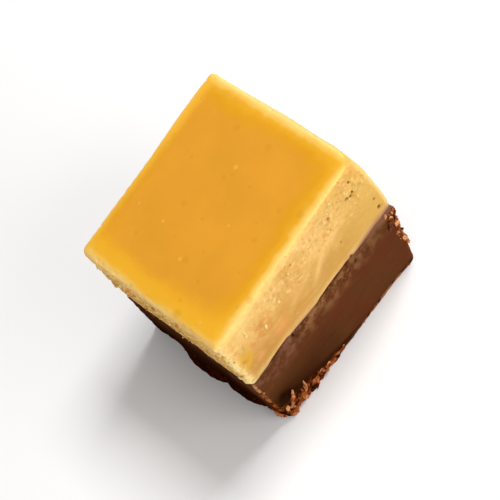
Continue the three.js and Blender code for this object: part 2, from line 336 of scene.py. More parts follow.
@dataclass(frozen=True)
class FudgeBlock:
    """The form of the whole cube.

    Its sizes are those of its solids, apart from the lower ridges that the knife dragged, the
    lobes of the left foot, and what is too fine for a solid.
    """

    length: float = 30.0
    depth: float = 27.4
    height: float = 24.4
    join: float = 12.1
    radius: float = 0.9
    top: Corners = Corners((-0.1, -0.6, -0.5), (0.2, 0.4, 0.4), (0.8, -0.5, -0.3), (0.6, 0.6, 0.6))
    foot: Corners = Corners((0.5, 0.5, 0.0), (-1.6, 0.3, 0.0), (0.3, -0.2, 0.0), (0.2, 0.3, 0.0))

    side_wave: Swell = Swell(9, 1, 0.28)
    drag_ridge: Swell = Swell(8, 2, 0.05, flatness=8 / 0.9)
    lump: Swell = Swell(1.5, 3, 0.6)
    grain: Swell = Swell(0.8, 4, 0.4)
    top_wave: Swell = Swell(8, 5, 0.14)
    join_wave: Swell = Swell(8, 31, 0.4)
    join_fray: Swell = Swell(1.4, 8, 0.1)
    join_fray_reach: float = 0.9
    groove_depth: float = 0.16
    groove_height: float = 0.55
    crack: Swell = Swell(4.2, 9)
    crack_from: Span = Span(0.1, 0.6)
    crack_depth: float = 0.3
    crack_height: float = 0.2
    crumble_depth: float = 0.5
    crumble_inward: float = 0.25
    crumble_fade: float = 0.25
    crumble_clear_of_top: float = 0.12
    chocolate_band: float = 4.5
    chocolate_fade: float = 2.2
    chocolate_share: float = 0.7
    roll_off: float = 0.16
    roll_off_reach: float = 2.4
    burr: Burr = Burr()
    burr_shade_height: float = 1.6
    streak: PoreStreak = PoreStreak()
    granular_wander: Swell = Swell(2.2, 22, 0.16)
    # How the painted rim highlight's width wanders, and how round it turns at the corners.
    rim_wander: Swell = Swell(5.5, 23, 0.3)
    rim_rounding: float = 4.0
    # Painted light on the flakes: least on the shaded left, rising to the lit front and right.
    toasted_least: float = 0.1
    toasted_front: Span = Span(5.0, 1.5)
    toasted_right: Span = Span(3.0, 0.5)
    toasted_right_share: float = 1.2
    near_edge_reach: Span = Span(1.7, 0.2)
    near_edge_crumbs_share: float = 0.9
    held_at_join: Span = Span(0.05, 0.45)
    join_bow: float = 1.05
    worn_depth: float = 0.6
    worn_reach: float = 1.9
    # A torn place by the curl: sunk a little, and given painted shade by the chocolate's finish.
    torn: Spot = Spot(-13.0, 4.5, 1.1)
    stain: Spot = Spot(-13.1, 17.4, 1.9)
    blushes: tuple[Spot, ...] = (
        Spot(11.3, 22.8, 0.8), Spot(13.2, 23.0, 0.5), Spot(-6.6, 15.6, 1.5), Spot(-11.3, 15.2, 0.8),
    )
    pores: tuple[Spot, ...] = (
        Spot(10.6, 20.6, 0.26, 0.35), Spot(10.9, 20.2, 0.22, 0.35), Spot(11.4, 20.0, 0.24, 0.4),
        Spot(11.9, 20.3, 0.2, 0.3), Spot(12.3, 22.1, 0.2, 0.25), Spot(13.4, 13.9, 0.3, 0.5),
        Spot(13.5, 15.9, 0.18, 0.25), Spot(6.5, 10.7, 0.3, 0.35), Spot(6.3, 12.3, 0.24, 0.25),
        Spot(-6.4, 11.4, 0.3, 0.3), Spot(-6.0, 10.5, 0.24, 0.3),
    )

    @property
    def half_length(self) -> float:
        """Half the length along X."""
        return self.length / 2

    @property
    def half_depth(self) -> float:
        """Half the depth along Y."""
        return self.depth / 2

    def normals(self, x: Array, y: Array, z: Array) -> tuple[Array, Array]:
        """The core points that lie one edge radius inside the square block, and the way out of it."""
        core = np.stack(
            [
                np.clip(x, -self.half_length + self.radius, self.half_length - self.radius),
                np.clip(y, -self.half_depth + self.radius, self.half_depth - self.radius),
                np.minimum(z, self.height - self.radius),
            ],
            axis=1,
        )
        out = np.stack([x, y, z], axis=1) - core
        return core, out / np.linalg.norm(out, axis=1, keepdims=True)

    def facing_share(self, side: Side, normal: Array) -> Array:
        """How much each point belongs to a side, blended round the corners."""
        fx, fy = side.value.facing
        return np.maximum(0.0, normal[:, 0] * fx + normal[:, 1] * fy) ** 2

    def side_crumble(self, side: Side, z: Array) -> Array:
        """How crumbly one side is at each height, from 0 to 1."""
        cut = side.value
        over = z - self.join
        below = self.chocolate_share * smooth_step(
            -self.chocolate_band, -self.chocolate_band + self.chocolate_fade, over
        )
        up = over / (self.height - self.join)
        above = smooth_step(cut.from_share, cut.from_share + self.crumble_fade, up)
        above = above * smooth_step(1, 1 - self.crumble_clear_of_top, up)
        return cut.crumble * np.where(over < 0, below, above)

    def crumble(self, z: Array, normal: Array) -> Array:
        """How crumbly each point is, over all sides."""
        return sum(self.facing_share(side, normal) * self.side_crumble(side, z) for side in Side)

    def join_crack(self, x: Array, y: Array, z: Array) -> Array:
        """How far the layers have parted along the join, from 0 to 1."""
        along = self.crack_from.rise(self.crack.at(x, y, 0 * z))
        return along * np.exp(-(((z - self.join) / self.crack_height) ** 2))

    def wall_relief(self, x: Array, y: Array, z: Array, normal: Array) -> Array:
        """How far an upright wall stands out of the smooth block."""
        relief = self.side_wave.at(x, y, z) + self.drag_ridge.at(x, y, z)
        relief -= self.groove_depth * np.exp(-(((z - self.join) / self.groove_height) ** 2))
        relief -= self.crack_depth * self.join_crack(x, y, z)
        rough = self.lump.at(x, y, z) + self.grain.at(x, y, z)
        relief += self.crumble_depth * self.crumble(z, normal) * (rough - self.crumble_inward)
        left = self.facing_share(Side.LEFT, normal)
        relief += self.burr.relief(x, y, z, self.half_length, left)
        front = self.facing_share(Side.FRONT, normal)
        for pore in self.pores:
            relief -= front * pore.depth * pore.share(x, z)
        return relief

    def worn_corner(self, x: Array, y: Array, z: Array) -> Array:
        """How much of a point belongs to the rubbed front right corner of the top."""
        level = np.hypot(x - self.half_length, y + self.half_depth)
        away = np.hypot(level, z - self.height) / self.worn_reach
        return np.exp(-(away**2))

    @staticmethod
    def in_spots(x: Array, z: Array, *spots: Spot) -> Array:
        """How much of a point lies in one of the spots, from 0 to 1."""
        return np.max([spot.share(x, z) for spot in spots], axis=0)

    def top_relief(self, x: Array, y: Array) -> Array:
        """How far the poured top stands above the smooth block."""
        sunk = self.roll_off * smooth_step(self.roll_off_reach, 0, self.to_edge(x, y))
        return self.top_wave.at(x, y, 0 * x) - sunk

    def to_edge(self, x: Array, y: Array) -> Array:
        """How far points of the top lie from its nearest edge."""
        return np.minimum(self.half_length - np.abs(x), self.half_depth - np.abs(y))

    def near_edge(self, x: Array, y: Array) -> Array:
        """How close points lie to the front left upright edge, from 0 to 1."""
        return self.near_edge_reach.rise(np.hypot(x + self.half_length, y + self.half_depth))

    def near_edge_crumbs(self, x: Array, y: Array, z: Array) -> Array:
        """How thickly crumbs lie along the front left upright edge of the upper layer."""
        return self.near_edge_crumbs_share * self.near_edge(x, y) * (z < self.height - self.radius)

    def rim_distance(self, x: Array, y: Array) -> Array:
        """The way from the nearest edge of the top, longer where its painted rim highlight is narrow."""
        ways = []
        for side in Side:
            fx, fy = side.value.facing
            half = self.half_length if fx else self.half_depth
            way = (half - fx * x - fy * y) / side.value.rim
            ways.append(np.maximum(way, self.roll_off) ** -self.rim_rounding)
        nearest = np.sum(ways, axis=0) ** (-1 / self.rim_rounding)
        return nearest / (1 + self.rim_wander.at(x, y, 0 * x))

    def toasted(self, x: Any, y: Any) -> Any:
        """Painted light on the flakes: how lit, pale and orange they are painted, most at the front and
        right, least on the shaded left.
        """
        front = self.toasted_front.rise(y + self.half_depth)
        right = self.toasted_right_share * self.toasted_right.rise(self.half_length - x)
        return np.maximum(self.toasted_least, np.maximum(front, right))

    def shift(self, x: Array, y: Array, z: Array) -> Array:
        """How far the hand-cut block stands from the square one, with the wavering join."""
        right = np.clip(x / self.length + 0.5, 0, 1)
        back = np.clip(y / self.depth + 0.5, 0, 1)
        up = np.clip(z / self.height, 0, 1)[:, None]
        shift = mix(self.foot.blend(right, back), self.top.blend(right, back), up)
        above = (self.height - z) / (self.height - self.join)
        fade = np.clip(np.where(z > self.join, above, z / self.join), 0, 1)
        shift[:, 0] += self.join_bow * fade * right * (1 - back)
        shift[:, 2] += fade * self.join_wave.at(x, y, 0 * z)
        near = np.exp(-(((z - self.join) / self.join_fray_reach) ** 2))
        shift[:, 2] += near * self.join_fray.at(x, y, 0 * z)
        return shift

    def surface(self, x: Any, y: Any, z: Any) -> Surface:
        """Turns points of the plain square block into the matching points of the fudge.

        Args:
            x: Places along X on the square block, in millimetres.
            y: Places along Y.
            z: Heights.

        Returns:
            The points, the way out of the block there, and the masks of the finish.
        """
        x, y, z = (np.atleast_1d(np.asarray(axis, float)) for axis in np.broadcast_arrays(x, y, z))
        core, normal = self.normals(x, y, z)
        poured = normal[:, 2] ** 2
        raised = mix(self.wall_relief(x, y, z, normal), self.top_relief(x, y), poured)
        raised -= self.worn_depth * self.worn_corner(x, y, z)
        places = core + normal * (self.radius + raised)[:, None] + self.shift(x, y, z)
        return Surface(places, normal, self.masks(x, y, z, normal))

    def masks(self, x: Array, y: Array, z: Array, normal: Array) -> dict[str, Array]:
        """What the finishes and the relief read at each point, by name."""
        up = (z - self.join) / (self.height - self.join) + self.granular_wander.at(x, y, z)
        cut = 1 - normal[:, 2] ** 2
        granular = np.zeros(x.shape)
        porous = np.zeros(x.shape)
        front = self.facing_share(Side.FRONT, normal)
        left = self.facing_share(Side.LEFT, normal)
        for side in Side:
            share = self.facing_share(side, normal)
            start = side.value.from_share
            granular += share * smooth_step(start, start + self.crumble_fade, up)
            porous += share * side.value.porous
        return {
            "poured": (1 - cut) * (1 - self.worn_corner(x, y, z)),
            # How far in from the top's edge its painted rim highlight reaches.
            "rim": np.where(z >= self.height, self.rim_distance(x, y), 0.0),
            "upright_edge": BAND_PEAK * (normal[:, 0] * normal[:, 1]) ** 2,
            # Painted light on the flakes, by place.
            "toasted": self.toasted(x, y),
            "crumbly": self.crumble(z, normal),
            "crumby": self.crumble(z, normal) ** 2 + self.near_edge_crumbs(x, y, z),
            "granular": granular,
            "porous": porous,
            "burr": self.burr.mask(x, z, self.half_length) * self.burr.share(x, self.half_length),
            "flaky": self.burr.flaky(y + self.half_depth) * (1 - self.burr.left_smooth * left),
            "over_burr": self.burr.mask(x, z / self.burr_shade_height, self.half_length),
            "pit": front * self.in_spots(x, z, *self.pores),
            "torn": front * self.in_spots(x, z, self.torn),
            "stain": front * self.in_spots(x, z, self.stain),
            "blush": front * self.in_spots(x, z, *self.blushes),
            "streak": front * self.streak.mask(x, z),
            "smear": front * self.streak.under(x, z),
            "crack": self.join_crack(x, y, z),
            "over_join": z - self.join,
            "near_edge": self.near_edge(x, y),
            "hold": self.held_at_join.rise(np.abs(z - self.join)),
        }


# ---- Meshes ----


def new_object(name: str, mesh: Mesh) -> Object:
    """Puts a mesh in the scene as an object at the origin."""
    made = bpy.data.objects.new(name, mesh)
    bpy.context.scene.collection.objects.link(made)
    return made


def store(mesh: Mesh, name: str, values: Array) -> None:
    """Writes one value, or one vector, for each point of a mesh as a named attribute."""
    vector = values.ndim == 2
    attribute = mesh.attributes.new(name, "FLOAT_VECTOR" if vector else "FLOAT", "POINT")
    data = values.astype(np.float32).ravel()
    attribute.data.foreach_set("vector" if vector else "value", data)


@dataclass(frozen=True)
class GridLines:
    """Grid lines across a span, with arcs of even steps over its rounded ends."""

    radius: float
    step: float
    arc_steps: int = 5

    def arc(self) -> Array:
        """How far past the start of a rounded end each of its lines lies, from 0 to the radius."""
        return self.radius * np.tan(np.linspace(0, math.pi / 4, self.arc_steps + 1))

    def between(self, low: float, high: float, round_low: bool, round_high: bool) -> Array:
        """The lines from low to high."""
        start = low + self.radius * round_low
        end = high - self.radius * round_high
        count = max(2, round((end - start) / self.step) + 1)
        parts = [np.linspace(start, end, count)]
        if round_low:
            parts.insert(0, start - self.arc()[:0:-1])
        if round_high:
            parts.append(end + self.arc()[1:])
        return np.concatenate(parts)


@dataclass
class LayerMesh:
    """A closed mesh of one layer: walls between its heights, a lid and an underside."""

    block: FudgeBlock
    heights: Array
    lines: GridLines
    rolling_lid: bool
    faces: list[tuple[int, ...]] = field(default_factory=list)
    flat_faces: int = 0

    def __post_init__(self) -> None:
        """Works out the grid lines, which the walls and the lid share."""
        half_length, half_depth = self.block.half_length, self.block.half_depth
        self.lines_x = self.lines.between(-half_length, half_length, True, True)
        self.lines_y = self.lines.between(-half_depth, half_depth, True, True)
        self.corners = list(self.outline())
        self.columns = len(self.corners)

    def outline(self) -> Iterator[tuple[int, int]]:
        """The outline of the square block, counter-clockwise from above, as pairs of grid lines."""
        last_x, last_y = len(self.lines_x) - 1, len(self.lines_y) - 1
        yield from ((n, 0) for n in range(last_x))
        yield from ((last_x, n) for n in range(last_y))
        yield from ((last_x - n, last_y) for n in range(last_x))
        yield from ((0, last_y - n) for n in range(last_y))

    def wall_places(self) -> tuple[Array, Array, Array]:
        """The points of the walls on the square block, ring by ring."""
        ring_x = np.array([self.lines_x[i] for i, _ in self.corners])
        ring_y = np.array([self.lines_y[j] for _, j in self.corners])
        rings = len(self.heights)
        return np.tile(ring_x, rings), np.tile(ring_y, rings), np.repeat(self.heights, self.columns)

    def add_walls(self) -> None:
        """Adds the quads of the walls, facing out."""
        for row in range(len(self.heights) - 1):
            low, high = row * self.columns, (row + 1) * self.columns
            for n in range(self.columns):
                after = (n + 1) % self.columns
                self.faces.append((low + n, low + after, high + after, high + n))

    def add_rolling_lid(self, first_free: int) -> None:
        """Adds the quads of the lid's grid, whose rim is the last ring of the walls."""
        rim = (len(self.heights) - 1) * self.columns
        index = np.zeros((len(self.lines_x), len(self.lines_y)), int)
        inner = (len(self.lines_x) - 2, len(self.lines_y) - 2)
        index[1:-1, 1:-1] = first_free + np.arange(inner[0] * inner[1]).reshape(inner)
        for n, (i, j) in enumerate(self.corners):
            index[i, j] = rim + n
        quads = np.stack([index[:-1, :-1], index[1:, :-1], index[1:, 1:], index[:-1, 1:]], axis=-1)
        self.faces.extend(map(tuple, quads.reshape(-1, 4).tolist()))

    def add_fan(self, ring: int, centre: int, upward: bool) -> None:
        """Closes a ring with flat triangles round one middle point."""
        first = ring * self.columns
        for n in range(self.columns):
            edge = (first + n, first + (n + 1) % self.columns)
            self.faces.append((centre, *(edge if upward else edge[::-1])))
        self.flat_faces += self.columns

    def build(self, name: str) -> Mesh:
        """Makes the mesh, with its masks as attributes.

        Args:
            name: The mesh's name.

        Returns:
            The mesh, in metres.
        """
        x, y, z = self.wall_places()
        self.add_walls()
        if self.rolling_lid:
            inner_x, inner_y = np.meshgrid(self.lines_x[1:-1], self.lines_y[1:-1], indexing="ij")
            self.add_rolling_lid(len(x))
            x = np.concatenate([x, inner_x.ravel()])
            y = np.concatenate([y, inner_y.ravel()])
            z = np.concatenate([z, np.full(inner_x.size, self.block.height)])
        surface = self.block.surface(x, y, z)
        places = [surface.places]
        last_ring = len(self.heights) - 1
        for ring in [0] if self.rolling_lid else [0, last_ring]:
            first = ring * self.columns
            places.append(surface.places[first : first + self.columns].mean(0, keepdims=True))
            self.add_fan(ring, len(x) + len(places) - 2, upward=ring == last_ring)
        centres = len(places) - 1
        mesh = bpy.data.meshes.new(name)
        mesh.from_pydata((np.concatenate(places) * MM).tolist(), [], self.faces)
        smooth = np.ones(len(self.faces), bool)
        smooth[-self.flat_faces :] = False
        mesh.polygons.foreach_set("use_smooth", smooth)
        store(mesh, "facing", np.concatenate([surface.facing, np.zeros((centres, 3))]))
        for mask, values in surface.masks.items():
            store(mesh, mask, np.concatenate([values, np.zeros(centres)]))
        return mesh


# ---- Flakes that stand where the solids have them ----

TINT_DRAW = Swell(0.9, 21)


class SeededRandom:
    """A repeatable source of numbers in 0..1, with the usual constants of mulberry32."""

    WORD = 0xFFFFFFFF

    def __init__(self, seed: int) -> None:
        """Starts the numbers at a seed."""
        self.state = seed & self.WORD

    def __call__(self) -> float:
        """The next number."""
        self.state = (self.state + 0x6D2B79F5) & self.WORD
        t = ((self.state ^ (self.state >> 15)) * (1 | self.state)) & self.WORD
        t = ((t + (((t ^ (t >> 7)) * (61 | t)) & self.WORD)) & self.WORD) ^ t
        return ((t ^ (t >> 14)) & self.WORD) / 2**32

    def between(self, low: float, high: float) -> float:
        """The next number, spread over a span."""
        return mix(low, high, self())

    def turn(self) -> Matrix:
        """The next three numbers as a turn about X, Y and Z."""
        angles = [math.pi * self() for _ in range(3)]
        return Euler(angles, "ZYX").to_matrix()


@dataclass(frozen=True)
class FlakeSize:
    """The three sizes of a kind of flake, the longest first."""

    length: float
    width: float
    thickness: float

    def scaled(self, share: float) -> "FlakeSize":
        """The same flake, larger or smaller."""
        return FlakeSize(self.length * share, self.width * share, self.thickness * share)


def icosahedron() -> tuple[list[Vector], list[tuple[int, ...]]]:
    """The corners of an icosahedron with a radius of one half, and its faces, facing out."""
    golden = (1 + math.sqrt(5)) / 2
    signs = [(golden * long, short) for long in (1, -1) for short in (-1, 1)]
    ends = [Vector((short, long, 0)) for long, short in signs]
    ends += [Vector((0, short, long)) for long, short in signs]
    ends += [Vector((long, 0, short)) for long, short in signs]
    edge = 2.0
    slack = edge / 10
    faces = []
    for trio in combinations(range(len(ends)), 3):
        a, b, c = (ends[n] for n in trio)
        if all(abs((p - q).length - edge) < slack for p, q in ((a, b), (b, c), (c, a))):
            outward = (b - a).cross(c - a).dot(a + b + c) > 0
            faces.append(trio if outward else trio[::-1])
    return [end.normalized() / 2 for end in ends], faces


@dataclass
class FlakeBed:
    """Gathers flakes as coarse closed shapes in one mesh, which geometry nodes then crumble.

    Attributes:
        block: The block that the flakes stand on.
        random: Where the flakes' sizes and turns are drawn from, flake after flake.
        size_spread: The share by which flakes differ in size.
        raggedness: The share by which a flake's corners are pulled in or out.
        toasting: How much a flake's tint follows the painted light there: orange where lit, dark in
            shade.
    """

    block: FudgeBlock
    random: SeededRandom
    toasting: float = 0.0
    size_spread: float = 0.3
    raggedness: float = 0.3
    places: list[Vector] = field(default_factory=list)
    faces: list[tuple[int, ...]] = field(default_factory=list)
    sizes: list[float] = field(default_factory=list)
    tints: list[float] = field(default_factory=list)

    DRAW_ORDER = (11, 5, 0, 1, 7, 10, 9, 4, 2, 6, 8, 3)

    def share(self) -> float:
        """The next flake's size, as a share of its kind's."""
        return self.random.between(1 - self.size_spread, 1 + self.size_spread)

    def point(self, x: float, y: float, z: float) -> Vector:
        """A point of the fudge, in millimetres."""
        return Vector(self.block.surface(x, y, z).places[0])

    def side_place(self, side: Side, along: float) -> tuple[float, float]:
        """A place on one side of the square block, from -1 to 1 along it."""
        fx, fy = side.value.facing
        inner_x = self.block.half_length - self.block.radius
        inner_y = self.block.half_depth - self.block.radius
        x = fx * self.block.half_length + abs(fy) * along * inner_x
        return x, fy * self.block.half_depth + abs(fx) * along * inner_y

    def add(self, size: FlakeSize, point: Vector, turn: Matrix, lowest: float) -> None:
        """Adds a ragged flake, longest along its own X.

        Args:
            size: Its three sizes, in millimetres.
            point: Its middle.
            turn: How it lies.
            lowest: The height below which it is cut off.
        """
        corners, faces = icosahedron()
        first = len(self.places)
        spans = Vector((size.length, size.width, size.thickness))
        shaped = {}
        for n in self.DRAW_ORDER:
            pull = 1 + self.raggedness * self.random.between(-1, 1)
            corner = turn @ (corners[n] * spans * pull) + point
            corner.z = max(lowest, corner.z)
            shaped[n] = corner
        self.places.extend(shaped[n] for n in range(len(corners)))
        self.faces.extend(tuple(first + n for n in face) for face in faces)
        tint = float(0.5 + 0.5 * TINT_DRAW.at(*point)[()])
        # The tint follows the painted light: dark in shade, orange where lit.
        tint *= 1 - self.toasting * (1 - float(self.block.toasted(point.x, point.y)))
        self.sizes.extend([size.width] * len(corners))
        self.tints.extend([tint] * len(corners))

    def mesh(self, name: str) -> Mesh:
        """All flakes gathered so far as one mesh, in metres, with their size and tint."""
        mesh = bpy.data.meshes.new(name)
        mesh.from_pydata([place * MM for place in self.places], [], self.faces)
        store(mesh, "crumb_size", np.array(self.sizes) * MM)
        store(mesh, "tint", np.array(self.tints))
        return mesh


# ---- Node graphs ----


def operator(operation: str, reflected: bool = False) -> Callable[["Wire", Any], "Wire"]:
    """An operator of wires.

    Args:
        operation: The Math or Vector Math node's operation that it adds.
        reflected: Whether the other side comes first.

    Returns:
        The method.
    """

    def apply(self: "Wire", other: Any) -> "Wire":
        """The node's result."""
        return self.graph.math(operation, *((other, self) if reflected else (self, other)))

    return apply


class Wire:
    """One output socket of a node.

    Its operators add Math nodes, or Vector Math nodes where one side is a vector.
    """

    def __init__(self, graph: "Graph", socket: bpy.types.NodeSocket) -> None:
        """Wraps a socket of a graph."""
        self.graph = graph
        self.socket = socket

    __add__, __radd__ = operator("ADD"), operator("ADD", reflected=True)
    __sub__, __rsub__ = operator("SUBTRACT"), operator("SUBTRACT", reflected=True)
    __mul__, __rmul__ = operator("MULTIPLY"), operator("MULTIPLY", reflected=True)
    __truediv__, __rtruediv__ = operator("DIVIDE"), operator("DIVIDE", reflected=True)
    __pow__ = operator("POWER")
    __lt__ = operator("LESS_THAN")
    at_least = operator("MAXIMUM")

    def clamped(self) -> "Wire":
        """The value kept between 0 and 1."""
        return self.graph.add("ShaderNodeClamp", values={"Value": self})["Result"]

    def smooth(self, low: Any, high: Any) -> "Wire":
        """A share that rises smoothly from 0 at low to 1 at high, which may be the smaller one."""
        values = {"Value": self, "From Min": low, "From Max": high}
        settings = {"interpolation_type": "SMOOTHSTEP"}
        return self.graph.add("ShaderNodeMapRange", settings, values)["Result"]

    def parts(self) -> tuple["Wire", "Wire", "Wire"]:
        """The three numbers of a vector or a colour."""
        node = self.graph.add("ShaderNodeSeparateXYZ", values={"Vector": self})
        return node["X"], node["Y"], node["Z"]


class Node:
    """One node of a graph. Its outputs are looked up by name."""

    def __init__(self, graph: "Graph", node: bpy.types.Node) -> None:
        """Wraps a node of a graph."""
        self.graph = graph
        self.node = node

    def __getitem__(self, name: str) -> Wire:
        """The output of that name that the node's settings leave in use."""
        found = [socket for socket in self.node.outputs if socket.enabled and socket.name == name]
        return Wire(self.graph, found[0])


@dataclass(frozen=True)
class Noise:
    """Soft random lumps.

    Attributes:
        size: How far apart they are, in millimetres.
        seed: Which lumps they are.
        fade: The stretch of their values that is spread to a mask, or nothing.
        detail: How many finer layers they have.
        stretch: How many times as long they are along X and Y.
        reach: How far they sway what they move, from one end to the other.
        spread: What their 0 and their 1 become, or nothing to leave them.
    """

    size: float | Wire
    seed: int
    fade: Span | None = None
    detail: float = 2.0
    stretch: float = 1.0
    reach: float = 1.0
    spread: Span | None = None


@dataclass(frozen=True)
class Specks:
    """Round specks of uneven size.

    Attributes:
        spacing: How far apart they may lie, in millimetres.
        radius: The largest one's radius.
        share: The share of the places that have one.
        seed: Which specks they are.
    """

    spacing: float | Wire
    radius: float | Wire
    share: float | Wire
    seed: int


@dataclass(frozen=True)
class Cells:
    """Cells round scattered points: the way to the nearest one, and two numbers drawn for each."""

    distance: Wire
    chance: Wire
    spread: Wire


class Graph:
    """A node tree with short ways to add nodes. Places in it are in millimetres.

    The smallest specks are the least share as wide as the largest, and their cores are full.
    """

    SEED_STEP = (17.3, 31.7, 23.1)
    SPECK_WIDTHS = Span(0.35, 1.0)
    SPECK_CORE = 0.4

    def __init__(self, tree: bpy.types.NodeTree) -> None:
        """Wraps a tree."""
        self.tree = tree

    @property
    def place(self) -> Wire:
        """Where a point is, in millimetres."""
        raise NotImplementedError

    def add(
        self,
        kind: str,
        settings: Mapping[str, Any] | None = None,
        values: Mapping[str | int, Any] | None = None,
    ) -> Node:
        """Adds a node.

        Args:
            kind: The node's type.
            settings: Its own settings, with a ramp's stops as pairs of place and colour.
            values: What its inputs are set or linked to, by name or by order of those in use.

        Returns:
            The node.
        """
        node = self.tree.nodes.new(kind)
        for name, value in (settings or {}).items():
            if name == "stops":
                self.set_stops(node.color_ramp, value)
            else:
                setattr(node, name, value)
        for key, value in (values or {}).items():
            used = [socket for socket in node.inputs if socket.enabled]
            socket = used[key] if isinstance(key, int) else next(s for s in used if s.name == key)
            self.feed(socket, value)
        return Node(self, node)

    @staticmethod
    def set_stops(ramp: bpy.types.ColorRamp, stops: list[tuple[float, Color]]) -> None:
        """Gives a ramp its stops."""
        while len(ramp.elements) < len(stops):
            ramp.elements.new(1.0)
        for element, (place, color) in zip(ramp.elements, stops):
            element.position = place
            element.color = color

    def feed(self, socket: bpy.types.NodeSocket, value: Any) -> None:
        """Links or sets one input."""
        if isinstance(value, list):
            for wire in value:
                self.feed(socket, wire)
        elif isinstance(value, Wire):
            self.tree.links.new(value.socket, socket)
        elif socket.type == "VECTOR" and isinstance(value, (int, float)):
            socket.default_value = (value, value, value)
        else:
            socket.default_value = value

    def math(self, operation: str, *values: Any) -> Wire:
        """Adds a Math node, or a Vector Math node where a value is a vector."""

        def is_vector(value: Any) -> bool:
            """Whether a value is a vector."""
            if isinstance(value, Wire):
                return value.socket.type in ("VECTOR", "RGBA")
            return isinstance(value, tuple)

        numbered = dict(enumerate(values))
        if any(map(is_vector, values)):
            return self.add("ShaderNodeVectorMath", {"operation": operation}, numbered)["Vector"]
        return self.add("ShaderNodeMath", {"operation": operation}, numbered)["Value"]

    def vector(self, x: Any, y: Any, z: Any) -> Wire:
        """A vector of three numbers."""
        return self.add("ShaderNodeCombineXYZ", values={"X": x, "Y": y, "Z": z})["Vector"]

    def color_mix(self, share: Any, a: Any, b: Any) -> Wire:
        """The colour that lies the given share of the way from a to b."""
        settings = {"data_type": "RGBA", "blend_type": "MIX"}
        return self.add("ShaderNodeMix", settings, {"Factor": share, "A": a, "B": b})["Result"]

    def ramp(self, tones: Tones, place: Wire) -> Wire:
        """The colour at a place on a ramp."""
        return self.add("ShaderNodeValToRGB", {"stops": tones}, {"Fac": place})["Color"]

    @property
    def on_side(self) -> Wire:
        """The place along any upright side and up it, for flat patterns."""
        x, y, z = self.place.parts()
        return self.vector(x + y, z, 0.0)

    def seeded(self, place: Wire, seed: int, stretch: float = 1.0) -> Wire:
        """A place, moved to where a seed's pattern lies, which is stretched along X and Y."""
        return place * (1 / stretch, 1 / stretch, 1.0) + tuple(seed * s for s in self.SEED_STEP)

    def noise_node(self, noise: Noise) -> Node:
        """The node of some noise, whose Color holds three noises at once."""
        vector = self.seeded(self.place, noise.seed, noise.stretch)
        values = {"Vector": vector, "Scale": 1 / noise.size, "Detail": noise.detail}
        return self.add("ShaderNodeTexNoise", values=values)

    def noise(self, noise: Noise) -> Wire:
        """Noise from 0 to 1, or over its spread, faded to a mask where it has a fade."""
        value = self.noise_node(noise)["Fac"]
        value = noise.fade.rise(value) if noise.fade else value
        return noise.spread.at(value) if noise.spread else value

    def sway(self, noise: Noise) -> Wire:
        """Noise about zero, over its reach."""
        level = self.noise(noise) - NOISE_MIDDLE
        return level if noise.reach == 1 else level * noise.reach

    def sway_vector(self, noise: Noise) -> Wire:
        """Three noises about zero."""
        return self.noise_node(noise)["Color"] - (NOISE_MIDDLE,) * 3

    def cells(
        self, size: float | Wire, seed: int, across: Wire | None = None, stretch: float = 1.0
    ) -> Cells:
        """Cells of a size in millimetres, whose distances count in cells.

        Args:
            size: How far apart their middles are.
            seed: Which cells they are.
            across: The flat place that they lie across, or nothing for cells in space.
            stretch: How many times as long they are along X and Y.

        Returns:
            The cells.
        """
        flat = across is not None
        vector = self.seeded(across if flat else self.place, seed, stretch)
        values = {"Vector": vector, "Scale": 1 / size}
        settings = {"voronoi_dimensions": "2D" if flat else "3D"}
        node = self.add("ShaderNodeTexVoronoi", settings, values)
        chance, spread, _ = node["Color"].parts()
        return Cells(node["Distance"], chance, spread)

    def spots(self, across: Wire, specks: Specks) -> Wire:
        """A mask of specks on a flat place, 1 in their middles."""
        cells = self.cells(specks.spacing, specks.seed, across)
        width = self.SPECK_WIDTHS.at(cells.spread) * (specks.radius / specks.spacing)
        return cells.distance.smooth(width, width * self.SPECK_CORE) * (cells.chance < specks.share)


class ShaderGraph(Graph):
    """The node tree of a new material."""

    def __init__(self, name: str) -> None:
        """Makes the material, with an empty tree."""
        self.material = bpy.data.materials.new(name)
        self.material.use_nodes = True
        super().__init__(self.material.node_tree)
        self.tree.nodes.clear()

    @property
    def place(self) -> Wire:
        """Where a point is on its object, in millimetres."""
        return self.add("ShaderNodeTexCoord")["Object"] * (1 / MM)

    def attribute(self, name: str) -> Wire:
        """A value stored on the points of the mesh."""
        return self.add("ShaderNodeAttribute", {"attribute_name": name})["Fac"]

    def bump(self, height: Wire, distance: float) -> Wire:
        """The normal of a finely uneven surface, whose height is in shares of a distance in metres."""
        return self.add("ShaderNodeBump", values={"Distance": distance, "Height": height})["Normal"]

    def surface(self, values: Mapping[str, Any]) -> Material:
        """Ends the tree in one Principled shader and gives the material."""
        shader = self.add("ShaderNodeBsdfPrincipled", values=values)
        self.add("ShaderNodeOutputMaterial", values={"Surface": shader["BSDF"]})
        return self.material


